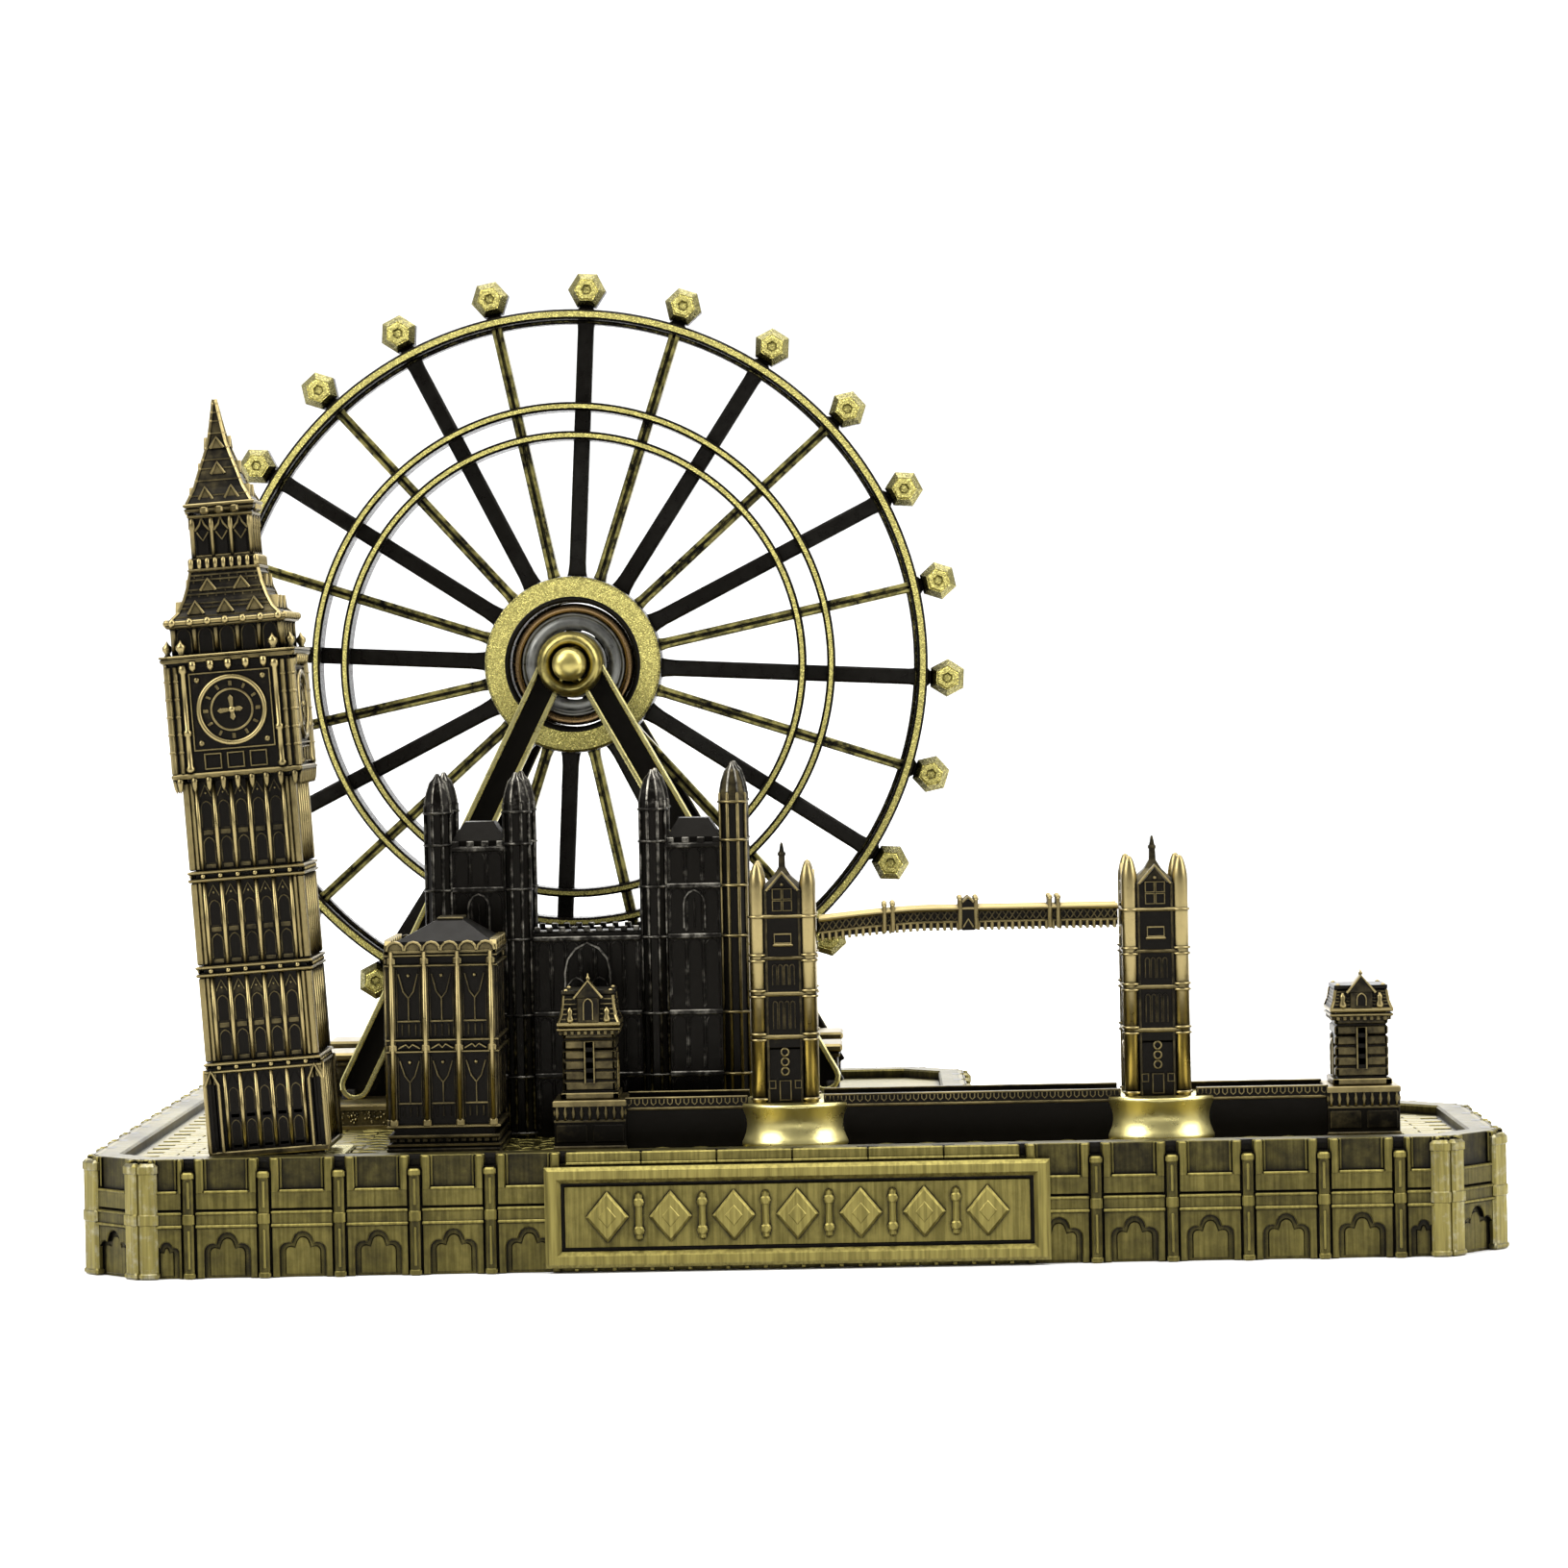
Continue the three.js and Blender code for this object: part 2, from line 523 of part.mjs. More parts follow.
// The thin slab between the tower and the tray's floor, a little larger than the tower.
function makeTowerFoot() {
  const slab = block(TOWER_X + 0.9, TOWER_Y, 16.4, 16, FLOOR_Z + SEAT, FLOOR_Z + TOWER_SLAB_T);
  return cut(slab, holesFor('clock_tower'));
}

// ---- palace block ----
const PALACE = { x: -40.6, y: -36.5, w: 13.4, d: 15, z0: 12.85, wallTop: 37.4, ridge: 41 };

function makePalace() {
  const { x, y, w, d, z0, wallTop, ridge } = PALACE;
  const parts = [
    block(x, y, w, d, z0, wallTop),
    block(x, y, w + 0.8, d + 0.8, z0, z0 + 1.2),
    block(x, y, w + 0.6, d + 0.6, z0 + 3.4, z0 + 4.2),
    block(x, y, w + 0.6, d + 0.6, 25.4, 26.4),
    block(x, y, w + 0.6, d + 0.6, 35.6, 36.6),
    block(x, y, w + 0.5, d + 0.5, 37.3, 38.3),
    frustum(x + 0.8, y, w - 2.6, 2.4, 38.2, ridge, 1.1),
  ];
  const columns = 4;
  for (let i = 0; i < columns; i += 1) {
    const px = x - w / 2 + 0.5 + (i * (w - 1)) / (columns - 1);
    parts.push(block(px, y - d / 2, 0.9, 0.9, z0 + 4, 36.5));
  }
  return cut(join(parts), holesFor('palace'));
}

// ---- abbey: two west towers with a nave front between them ----
const ABBEY = { y: -19.5, d: 13, z0: 12.85, naveTop: 38.2, towerTop: 49.4, towers: [[-45.2, -31.6], [-19, -5.2]], tips: [58, 58.8] };

function makeAbbeyTower(x0, x1, tip) {
  const { y, d, z0, towerTop } = ABBEY;
  const w = x1 - x0;
  const middle = (x0 + x1) / 2;
  const parts = [
    block(middle, y, w - 2.4, d - 2.4, z0, towerTop),
    frustum(middle, y, w * 0.5, w * 0.26, towerTop - 0.1, towerTop + 2.8, 1.3),
  ];
  for (const sx of [-1, 1]) {
    for (const sy of [-1, 1]) {
      const tx = middle + sx * (w / 2 - 1.9);
      const ty = y + sy * (d / 2 - 1.9);
      parts.push(post(tx, ty, 2.05, 1.9, z0, 54.3, 8));
      parts.push(post(tx, ty, 1.9, 0.25, 54.2, tip, 8));
    }
  }
  return join(parts);
}

function makeAbbey() {
  const { y, d, z0, naveTop, towers, tips } = ABBEY;
  const x0 = towers[0][1] - 2;
  const x1 = towers[1][0] + 2;
  const nave = box(x0, x1, y - d / 2 + 1.6, y + d / 2 - 1, z0, naveTop);
  const bands = [28, 37.4].map((z) =>
    box(towers[0][0] + 0.6, towers[1][1] - 0.6, y - d / 2 + 0.9, y, z - 0.5, z + 0.5));
  return cut(join([nave, ...bands, ...towers.map(([a, b], i) => makeAbbeyTower(a, b, tips[i]))]), holesFor('abbey'));
}

// ---- bridge ----
// A cutwater pier: a waisted turned body, longer along the river than it is wide.
function makePier(x) {
  const profile = [
    [0, 0], [PIER_HALF_W, 0], [PIER_HALF_W, 0.7], [6.7, 1.6], [6.5, 2.9], [6.9, 4], [PIER_HALF_W, 4.7],
    [PIER_HALF_W, 5.2], [0, 5.2],
  ].map(([r, z]) => new THREE.Vector2(r, z));
  const pier = new THREE.LatheGeometry(profile, 24).rotateX(Math.PI / 2).scale(1, PIER_STRETCH, 1);
  return at(pier, x, BRIDGE_Y, FLOOR_Z + SEAT);
}

function makeBridgeDeck() {
  const x0 = ABUTMENT_X[0] - ABUTMENT_W / 2;
  const x1 = ABUTMENT_X[1] + ABUTMENT_W / 2;
  const d = DECK_HALF_DEPTH;
  const deck = box(x0 + 1, x1 - 1, BRIDGE_Y - d, BRIDGE_Y + d, FLOOR_Z + SEAT, DECK_TOP);
  const parapets = [-1, 1].map((side) =>
    block((x0 + x1) / 2, BRIDGE_Y + side * (d - 0.4), x1 - x0 - 2, 0.8, DECK_TOP - 0.1, DECK_PARAPET_TOP));
  const abutments = ABUTMENT_X.map((x) =>
    block(x, BRIDGE_Y, ABUTMENT_W, 2 * d + 1.4, FLOOR_Z + SEAT, DECK_PARAPET_TOP - 0.2));
  const clearance = [
    ...MAIN_TOWER_X.map((x) => block(x, BRIDGE_Y, MAIN_TOWER_W + 2 * GAP, 30, PIER_TOP, 30)),
    ...ABUTMENT_X.map((x) => block(x, BRIDGE_Y, ABUTMENT_W + 2, 30, DECK_PARAPET_TOP - 0.2, 30)),
  ];
  return cut(join([deck, ...parapets, ...abutments, ...PIER_X.map(makePier)]), [...clearance, ...holesFor('bridge')]);
}

function makeMainTower(x) {
  const z0 = PIER_TOP + 2 * SEAT;
  const w = MAIN_TOWER_W;
  const depth = 10;
  const top = 42.6;
  const parts = [
    block(x, BRIDGE_Y, w - 1.6, depth - 1.6, z0, top),
    frustum(x, BRIDGE_Y, w - 2.6, 1.4, top - 0.1, 46.2, 1.1),
    frustum(x, BRIDGE_Y, 0.9, 0.25, 45, 49.2),
    block(x, BRIDGE_Y, w - 1, depth - 1, 36.4, 37.2),
  ];
  for (const sx of [-1, 1]) {
    for (const sy of [-1, 1]) {
      const tx = x + sx * (w / 2 - 1.1);
      const ty = BRIDGE_Y + sy * (depth / 2 - 1.1);
      parts.push(post(tx, ty, 1.05, 1.05, z0, 43.6, 6));
      parts.push(post(tx, ty, 1.05, 0.15, 43.5, 47.2, 6));
      parts.push(...[28, 40.4].map((z) => post(tx, ty, 1.25, 1.25, z - 0.3, z + 0.3, 6)));
    }
  }
  const archway = box(x - w, x + w, BRIDGE_Y - 1.8, BRIDGE_Y + 1.8, z0 - 1, z0 + 6);
  return cut(join(parts), [archway]);
}

function makeWalkway() {
  const x0 = MAIN_TOWER_X[0] + MAIN_TOWER_W / 2 + SEAT;
  const x1 = MAIN_TOWER_X[1] - MAIN_TOWER_W / 2 - SEAT;
  const middle = (x0 + x1) / 2;
  return join([
    box(x0, x1, BRIDGE_Y - 2.2, BRIDGE_Y + 2.2, 38.2, 40.8),
    box(x0, x1, BRIDGE_Y - 2.5, BRIDGE_Y + 2.5, WALKWAY_TOP - 0.6, WALKWAY_TOP),
    block(middle, BRIDGE_Y, 3, 5.4, 38, 42.8),
  ]);
}

function makeEndTower(x) {
  const z0 = DECK_PARAPET_TOP - 0.2 + SEAT;
  const w = 6.4;
  const d = 7;
  const body = join([
    block(x, BRIDGE_Y, w, d, z0, 28),
    block(x, BRIDGE_Y, w + 0.8, d + 0.8, z0, z0 + 0.8),
    block(x, BRIDGE_Y, w + 1.2, d + 1.2, 27, 28.1),
    frustum(x, BRIDGE_Y, w + 0.6, w - 0.4, 28, 31.9, 1.1),
    frustum(x, BRIDGE_Y - d / 2 + 0.8, 2.4, 0.3, 31, 34),
    block(x, BRIDGE_Y - d / 2 - 0.1, 2.6, 1, 28, 31.2),
  ]);
  return cut(body, [box(x - w, x + w, BRIDGE_Y - 1.6, BRIDGE_Y + 1.6, z0 + 0.9, z0 + 5)]);
}

// ---- screws from below ----
function makeScrew(s) {
  const underFloor = FLOOR_Z - FLOOR_T - SEAT;
  const head = post(s.x, s.y, SCREW_HEAD_R - 0.5, SCREW_HEAD_R, underFloor - 1.4, underFloor, 12);
  const shank = post(s.x, s.y, SCREW_SHANK_R, SCREW_SHANK_R, underFloor - 0.2, s.top, 8);
  const slots = [0, 90].map((turn) => {
    const slot = new THREE.BoxGeometry(2.4, 0.5, 1.2).rotateZ(rad(turn));
    return at(slot, s.x, s.y, underFloor - 1.4);
  });
  return cut(join([head, shank]), slots);
}

// ---- assembly ----
const add = (name, solid, material) => addMesh(name, toGeometry(solid), material);

add('base_tray', makeBaseTray(), BRASS);
add('name_plate', makeNamePlate(), BRASS);
add('wheel_plinth', makePlinth(), DARK_BRASS);
add('front_a_frame', makeAFrame(-1), DARK_BRASS);
add('rear_a_frame', makeAFrame(1), DARK_BRASS);
add('axle', makeAxle(), BRASS);
add('axle_cap', makeAxleCap(), BRASS);
add('front_spacer', makeSpacer(-1), BLACKENED);
add('rear_spacer', makeSpacer(1), BLACKENED);
add('bearing_inner_ring', makeInnerRing(), STEEL);
add('bearing_outer_ring', makeOuterRing(), STEEL);
add('bearing_front_shield', makeShield(-1), STEEL);
add('bearing_rear_shield', makeShield(1), STEEL);
add('bearing_cage', makeCage(), STEEL);
for (let i = 0; i < BALLS; i += 1) {
  add(`bearing_ball_${i + 1}`, makeBall(i), STEEL);
}
add('observation_wheel', makeWheel(), BRASS);

const tower = addMesh('clock_tower', toGeometry(makeClockTower()), DARK_BRASS);
tower.position.set(TOWER_X, TOWER_Y, FLOOR_Z + TOWER_SLAB_T + TOWER_LIFT);
tower.rotation.y = rad(TOWER_LEAN);
add('clock_tower_foot', makeTowerFoot(), BRASS);

add('palace_block', makePalace(), DARK_BRASS);
add('abbey', makeAbbey(), BLACKENED);
add('bridge_deck', makeBridgeDeck(), DARK_BRASS);
MAIN_TOWER_X.forEach((x, i) => add(`bridge_tower_${['left', 'right'][i]}`, makeMainTower(x), DARK_BRASS));
ABUTMENT_X.forEach((x, i) => add(`bridge_end_tower_${['left', 'right'][i]}`, makeEndTower(x), DARK_BRASS));
add('bridge_walkway', makeWalkway(), DARK_BRASS);
SCREWS.forEach((s) => add(s.name, makeScrew(s), SCREW_ZINC));

export default figurine;
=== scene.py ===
import json
import math
import random

import bmesh
import bpy
from mathutils import Matrix, Vector


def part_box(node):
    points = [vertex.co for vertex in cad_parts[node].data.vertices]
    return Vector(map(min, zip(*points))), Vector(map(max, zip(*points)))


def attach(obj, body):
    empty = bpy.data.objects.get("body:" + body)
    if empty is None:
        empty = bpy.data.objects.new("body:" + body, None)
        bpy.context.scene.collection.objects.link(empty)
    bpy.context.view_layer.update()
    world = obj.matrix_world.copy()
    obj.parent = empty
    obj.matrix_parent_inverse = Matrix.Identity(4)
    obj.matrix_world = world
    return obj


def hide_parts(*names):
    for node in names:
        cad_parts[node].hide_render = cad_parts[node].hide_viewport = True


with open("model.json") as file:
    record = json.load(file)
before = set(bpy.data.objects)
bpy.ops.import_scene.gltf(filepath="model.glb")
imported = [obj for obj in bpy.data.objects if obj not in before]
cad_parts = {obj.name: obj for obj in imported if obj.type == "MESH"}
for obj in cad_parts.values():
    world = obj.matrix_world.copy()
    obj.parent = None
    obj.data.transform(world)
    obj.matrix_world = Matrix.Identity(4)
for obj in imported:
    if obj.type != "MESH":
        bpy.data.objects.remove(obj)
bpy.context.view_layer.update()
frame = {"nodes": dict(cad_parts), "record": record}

bl_info = {
    "name": "Skyline Souvenir",
    "version": (1, 0, 0),
    "blender": (4, 5, 0),
    "location": "View3D > Sidebar > Skyline",
    "description": "Builds the looks of a cast skyline souvenir around its packed frame",
    "category": "Object",
}

MM = 0.001
TAU = 2 * math.pi


def mm_box(node):
    """A frame node's lowest and highest corners, in millimetres."""
    lo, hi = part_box(node)
    return lo / MM, hi / MM


# ------------------------------------------------------------------ outlines


def inset(outline, t):
    """Moves every side of a counter-clockwise outline inwards by t."""
    n = len(outline)
    moved = []
    for i, (x, y) in enumerate(outline):
        px, py = outline[i - 1]
        qx, qy = outline[(i + 1) % n]
        before = Vector((x - px, y - py)).normalized()
        after = Vector((qx - x, qy - y)).normalized()
        reach = t / max(0.25, 1 + before.dot(after))
        moved.append((x - (before.y + after.y) * reach, y + (before.x + after.x) * reach))
    return moved


def arc(cx, cz, r, start, end, steps):
    """Points on a circle between two angles in degrees."""
    turns = [math.radians(start + (end - start) * i / steps) for i in range(steps + 1)]
    return [(cx + r * math.cos(a), cz + r * math.sin(a)) for a in turns]


def pointed_arch(cx, half, spring, steps=4):
    """A gothic arch's points from its left spring to its right one."""
    r = 1.35 * half
    top = math.degrees(math.acos((r - half) / r))
    left = arc(cx + r - half, spring, r, 180, 180 - top, steps)
    right = arc(cx - r + half, spring, r, top, 0, steps)
    return left + right[1:]


def round_arch(cx, half, spring, steps=8):
    """A half-round arch's points from left to right."""
    return arc(cx, spring, half, 180, 0, steps)


def trefoil_arch(cx, half, spring, steps=5):
    """A three-lobed arch's points from left to right."""
    side = 0.36 * half
    crown = 0.42 * half
    left = arc(cx - half + side, spring, side, 180, 62, steps)
    top = arc(cx, spring + side * 1.15, crown, 158, 22, steps + 1)
    right = arc(cx + half - side, spring, side, 118, 0, steps)
    return left + top + right


def opening_plate(x0, x1, z0, z1, arch):
    """A wall panel's outline with an arched opening that runs out at its foot."""
    first, last = arch[0], arch[-1]
    return [(x0, z0), (first[0], z0), *arch, (last[0], z0), (x1, z0), (x1, z1), (x0, z1)]


def closed_window(arch, sill):
    """A window's outline: its arch, closed by a level sill. Counter-clockwise."""
    return [(arch[0][0], sill), (arch[-1][0], sill), *reversed(arch)]


# ------------------------------------------------------------------- casting


FLAT_SHARE = 0.8                            # of a box's shine, on its flat sides
CHAMFERED_BOX_FLATS = (8, 10, 12, 14, 24, 25)
BOTH = (-1, 1)                              # the two sides of a symmetrical detail


class Casting:
    """Closed solids in millimetres, gathered into one mesh.

    shine says how far a solid stands out, and so how bright its plating is worn:
    0 in the deepest recess, 1 on the outermost ribs. A box's flat sides get only
    FLAT_SHARE of it. paint is a material's place in the piece's own list.
    """

    def __init__(self):
        self.points, self.faces = [], []
        self.shine, self.paint, self.smooth = [], [], []
        self.place = Matrix.Identity(4)

    def add(self, points, faces, shine, paint=0, smooth=False):
        """Adds faces that share one shine and paint, their points given in the current place."""
        start = len(self.points)
        self.points.extend(self.place @ Vector(p) for p in points)
        self.faces.extend(tuple(start + i for i in face) for face in faces)
        self.shine.extend([shine] * len(faces))
        self.paint.extend([paint] * len(faces))
        self.smooth.extend([smooth] * len(faces))

    def loft(self, rings, shine, paint=0, smooth=False, loop=False):
        """Joins rings of equally many points; loop joins the last ring to the first."""
        n, m = len(rings[0]), len(rings)
        faces = []
        for k in range(m if loop else m - 1):
            a, b = k * n, ((k + 1) % m) * n
            faces += [(a + i, a + (i + 1) % n, b + (i + 1) % n, b + i) for i in range(n)]
        if not loop:
            faces.append(tuple(reversed(range(n))))
            faces.append(tuple((m - 1) * n + i for i in range(n)))
        self.add([p for ring in rings for p in ring], faces, shine, paint, smooth)

    def box(self, x0, x1, y0, y1, z0, z1, shine, edge=0.07, paint=0):
        """A block with chamfered edges."""
        e = min(edge, 0.3 * min(abs(x1 - x0), abs(y1 - y0), abs(z1 - z0)))

        def ring(z, t):
            c = e if t == 0 else 0.4 * e
            a0, a1, b0, b1 = x0 + t, x1 - t, y0 + t, y1 - t
            corners = [(a0 + c, b0), (a1 - c, b0), (a1, b0 + c), (a1, b1 - c)]
            corners += [(a1 - c, b1), (a0 + c, b1), (a0, b1 - c), (a0, b0 + c)]
            return [(x, y, z) for x, y in corners]

        start = len(self.shine)
        self.loft([ring(z0, e), ring(z0 + e, 0), ring(z1 - e, 0), ring(z1, e)], shine, paint)
        for i in CHAMFERED_BOX_FLATS:
            self.shine[start + i] = shine * FLAT_SHARE

    def block(self, x, y, w, d, z0, z1, shine, edge=0.07, paint=0):
        """A chamfered block centred on (x, y)."""
        self.box(x - w / 2, x + w / 2, y - d / 2, y + d / 2, z0, z1, shine, edge, paint)

    def slab(self, outline, y0, y1, shine, edge=0.05, paint=0):
        """An outline [(x, z)] in the upright plane, from its front y0 back to y1."""
        front = inset(outline, edge)
        rings = [[(x, y0, z) for x, z in front], [(x, y0 + edge, z) for x, z in outline]]
        rings.append([(x, y1, z) for x, z in outline])
        self.loft(rings, shine, paint)

    def plate(self, outline, z0, z1, shine, edge=0.08, paint=0):
        """An outline [(x, y)] raised from z0 to z1, its upper edge chamfered."""
        rings = [[(x, y, z0) for x, y in outline], [(x, y, z1 - edge) for x, y in outline]]
        rings.append([(x, y, z1) for x, y in inset(outline, edge)])
        self.loft(rings, shine, paint)

    def moulding(self, outline, profile, shine, paint=0, upright=False):
        """Sweeps a closed profile [(inset, height)] round an outline.

        Upright, the outline is [(x, z)] and the profile's second number is y.
        """
        rings = []
        for t, level in profile:
            corners = inset(outline, t) if t else outline
            rings.append([(x, level, y) if upright else (x, y, level) for x, y in corners])
        self.loft(rings, shine, paint, loop=True)

    def turned(self, x, y, profile, shine, sides=12, turn=0.0, smooth=True, stretch=1.0, paint=0):
        """A body turned about an upright axis; the profile is [(radius, z)] upwards."""
        rings = []
        for r, z in profile:
            angles = [turn + TAU * i / sides for i in range(sides)]
            reach = max(r, 0.004)
            rings.append([(x + reach * math.cos(a), y + reach * stretch * math.sin(a), z) for a in angles])
        self.loft(rings, shine, paint, smooth)

    def spun(self, x, y, z, profile, shine, sides=48, smooth=True, paint=0, ring=False):
        """A body turned about the Y direction; the profile is [(radius, y)]."""
        rings = []
        for i in range(sides):
            a = TAU * i / sides
            sweep = [(x + r * math.sin(a), y + along, z + r * math.cos(a)) for r, along in profile]
            rings.append(sweep)
        if ring:
            self.loft(rings, shine, paint, smooth, loop=True)
            return
        turned = [[ring_points[k] for ring_points in rings] for k in range(len(profile))]
        self.loft(turned, shine, paint, smooth)

    def ball(self, x, y, z, r, shine, sides=8):
        """A small bead."""
        steps = 5
        profile = [(r * math.sin(math.pi * i / steps), z - r * math.cos(math.pi * i / steps))
                   for i in range(steps + 1)]
        self.turned(x, y, profile, shine, sides)

    def bar(self, path, w, y0, y1, shine, loop=False, paint=0):
        """A bar of width w along a path [(x, z)] in the upright plane, its front at y0."""
        n = len(path)
        rings = []
        for i, (x, z) in enumerate(path):
            a = path[i - 1] if (loop or i) else path[i]
            b = path[(i + 1) % n] if (loop or i < n - 1) else path[i]
            along = Vector((b[0] - a[0], b[1] - a[1])).normalized()
            nx, nz = -along.y * w / 2, along.x * w / 2
            e = 0.25 * w
            ring = [(x + nx, y1, z + nz), (x + nx, y0 + e, z + nz), (x + nx * 0.55, y0, z + nz * 0.55)]
            ring += [(x - nx * 0.55, y0, z - nz * 0.55), (x - nx, y0 + e, z - nz), (x - nx, y1, z - nz)]
            rings.append(ring)
        self.loft(rings, shine, paint, loop=loop)

    def gablet(self, x, z, w, h, y0, y1, shine):
        """A small steep gable with a raised edge, standing on (x, z)."""
        eaves = z + 0.15 * h
        outline = [(x - w / 2, z), (x + w / 2, z), (x + w / 2, eaves), (x, z + h), (x - w / 2, eaves)]
        self.slab(outline, y0, y1, shine * 0.7, 0.04)
        self.bar([(x - w / 2, z + 0.05), (x, z + h), (x + w / 2, z + 0.05)], 0.34, y0 - 0.14, y1, shine)

    def four_sides(self, draw, x=0.0, y=0.0):
        """Calls draw once for each side of a square body centred on (x, y)."""
        outer = self.place.copy()
        for side in range(4):
            self.place = outer @ Matrix.Translation((x, y, 0)) @ Matrix.Rotation(side * TAU / 4, 4, "Z")
            draw(side)
        self.place = outer

    def to_object(self, name, materials):
        """The finished mesh object, in metres, with its shine kept on every face."""
        mesh = bpy.data.meshes.new(name)
        mesh.from_pydata([p * MM for p in self.points], [], self.faces)
        mesh.attributes.new("shine", "FLOAT", "FACE").data.foreach_set("value", self.shine)
        mesh.polygons.foreach_set("material_index", self.paint)
        mesh.polygons.foreach_set("use_smooth", self.smooth)
        work = bmesh.new()
        work.from_mesh(mesh)
        bmesh.ops.recalc_face_normals(work, faces=work.faces)
        work.to_mesh(mesh)
        work.free()
        for material in materials:
            mesh.materials.append(material)
        piece = bpy.data.objects.new(name, mesh)
        bpy.context.scene.collection.objects.link(piece)
        return piece


def mount(casting, name, materials, body, nodes):
    """Makes the piece, puts it on its body and hides the frame nodes it stands for."""
    missing = [node for node in nodes if node not in frame["nodes"]]
    if missing:
        raise RuntimeError(f"{name} stands for nodes that the frame lacks: {missing}")
    piece = casting.to_object(name, materials)
    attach(piece, body)
    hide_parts(*nodes)
    return piece


# ----------------------------------------------------------------- materials


def add_node(tree, kind, inputs=None, **settings):
    """A shader node with its settings, and its sockets set or linked by name or number."""
    node = tree.nodes.new(kind)
    for key, value in settings.items():
        setattr(node, key, value)
    for key, value in (inputs or {}).items():
        if isinstance(value, bpy.types.NodeSocket):
            tree.links.new(value, node.inputs[key])
        else:
            node.inputs[key].default_value = value
    return node


def math_node(tree, operation, a, b=0.0, clamp=False):
    node = add_node(tree, "ShaderNodeMath", {0: a, 1: b}, operation=operation, use_clamp=clamp)
    return node.outputs[0]


def mix_colour(tree, factor, a, b, blend="MIX"):
    node = add_node(tree, "ShaderNodeMix", {"Factor": factor}, data_type="RGBA", blend_type=blend)
    for socket, value in ((node.inputs[6], a), (node.inputs[7], b)):
        if isinstance(value, bpy.types.NodeSocket):
            tree.links.new(value, socket)
        else:
            socket.default_value = value
    return node.outputs[2]


def smooth_range(tree, value, low, high, to_low=0.0, to_high=1.0):
    node = add_node(tree, "ShaderNodeMapRange", {0: value, 1: low, 2: high, 3: to_low, 4: to_high},
                    interpolation_type="SMOOTHSTEP")
    return node.outputs[0]


def new_group(name, inputs, outputs):
    """An empty shader node group with named sockets: (name, kind, default)."""
    group = bpy.data.node_groups.new(name, "ShaderNodeTree")
    for label, kind, default in inputs:
        socket = group.interface.new_socket(label, in_out="INPUT", socket_type=kind)
        socket.default_value = default
    for label, kind in outputs:
        group.interface.new_socket(label, in_out="OUTPUT", socket_type=kind)
    return group, group.nodes.new("NodeGroupInput"), group.nodes.new("NodeGroupOutput")


def patina_group():
    """Plating that is worn bright where it stands out and stays dark in the hollows."""
    colour = "NodeSocketColor"
    number = "NodeSocketFloat"
    tree, given, out = new_group("AntiquePatina", [
        ("Bright", colour, (0.4, 0.3, 0.1, 1)), ("Dark", colour, (0.02, 0.015, 0.01, 1)),
        ("Hollow Reach", number, 0.0008), ("Wear", number, 0.4), ("Grain Size", number, 700.0),
        ("Bright Roughness", number, 0.32), ("Dark Roughness", number, 0.4), ("Rub", number, 0.0),
    ], [("Colour", colour), ("Roughness", number), ("Relief", number), ("Mask", number)])
    shine = add_node(tree, "ShaderNodeAttribute", attribute_name="shine").outputs["Fac"]
    hollow = add_node(tree, "ShaderNodeAmbientOcclusion", {"Distance": given.outputs["Hollow Reach"]},
                      samples=6, only_local=True).outputs["AO"]
    place = add_node(tree, "ShaderNodeTexCoord").outputs["Object"]
    grain = add_node(tree, "ShaderNodeTexNoise", {"Vector": place, "Scale": given.outputs["Grain Size"],
                                                  "Detail": 4.0, "Roughness": 0.65}).outputs["Fac"]
    broad = add_node(tree, "ShaderNodeTexNoise",
                     {"Vector": place, "Scale": 90.0, "Detail": 2.0}).outputs["Fac"]
    open_part = smooth_range(tree, hollow, 0.35, 0.95)
    raised = math_node(tree, "MULTIPLY", shine, open_part)
    rough_part = math_node(tree, "MULTIPLY", math_node(tree, "SUBTRACT", grain, 0.5), given.outputs["Wear"])
    patch = math_node(tree, "MULTIPLY", math_node(tree, "SUBTRACT", broad, 0.5), 0.5)
    total = math_node(tree, "ADD", math_node(tree, "ADD", raised, rough_part), patch)
    mask = smooth_range(tree, math_node(tree, "ADD", total, given.outputs["Rub"]), 0.26, 1.0)
    plating = mix_colour(tree, mask, given.outputs["Dark"], given.outputs["Bright"])
    tree.links.new(plating, out.inputs["Colour"])
    rough = add_node(tree, "ShaderNodeMix", {
        0: mask, 2: given.outputs["Dark Roughness"], 3: given.outputs["Bright Roughness"]},
        data_type="FLOAT").outputs[0]
    vary = math_node(tree, "MULTIPLY", math_node(tree, "SUBTRACT", grain, 0.5), 0.25)
    tree.links.new(math_node(tree, "ADD", rough, vary, clamp=True), out.inputs["Roughness"])
    tree.links.new(grain, out.inputs["Relief"])
    tree.links.new(mask, out.inputs["Mask"])
    return tree


def streak_group():
    """Upright brushing lines, fine across and long along the height."""
    number = "NodeSocketFloat"
    tree, given, out = new_group("BrushedStreaks", [("Across", number, 2600.0), ("Along", number, 130.0)],
                                 [("Streak", number)])
    place = add_node(tree, "ShaderNodeTexCoord").outputs["Object"]
    scale = add_node(tree, "ShaderNodeCombineXYZ", {
        0: given.outputs["Across"], 1: given.outputs["Across"], 2: given.outputs["Along"]}).outputs[0]
    spread = add_node(tree, "ShaderNodeVectorMath", {0: place, 1: scale}, operation="MULTIPLY").outputs[0]
    noise = add_node(tree, "ShaderNodeTexNoise",
                     {"Vector": spread, "Scale": 1.0, "Detail": 3.0}).outputs["Fac"]
    tree.links.new(noise, out.inputs["Streak"])
    return tree


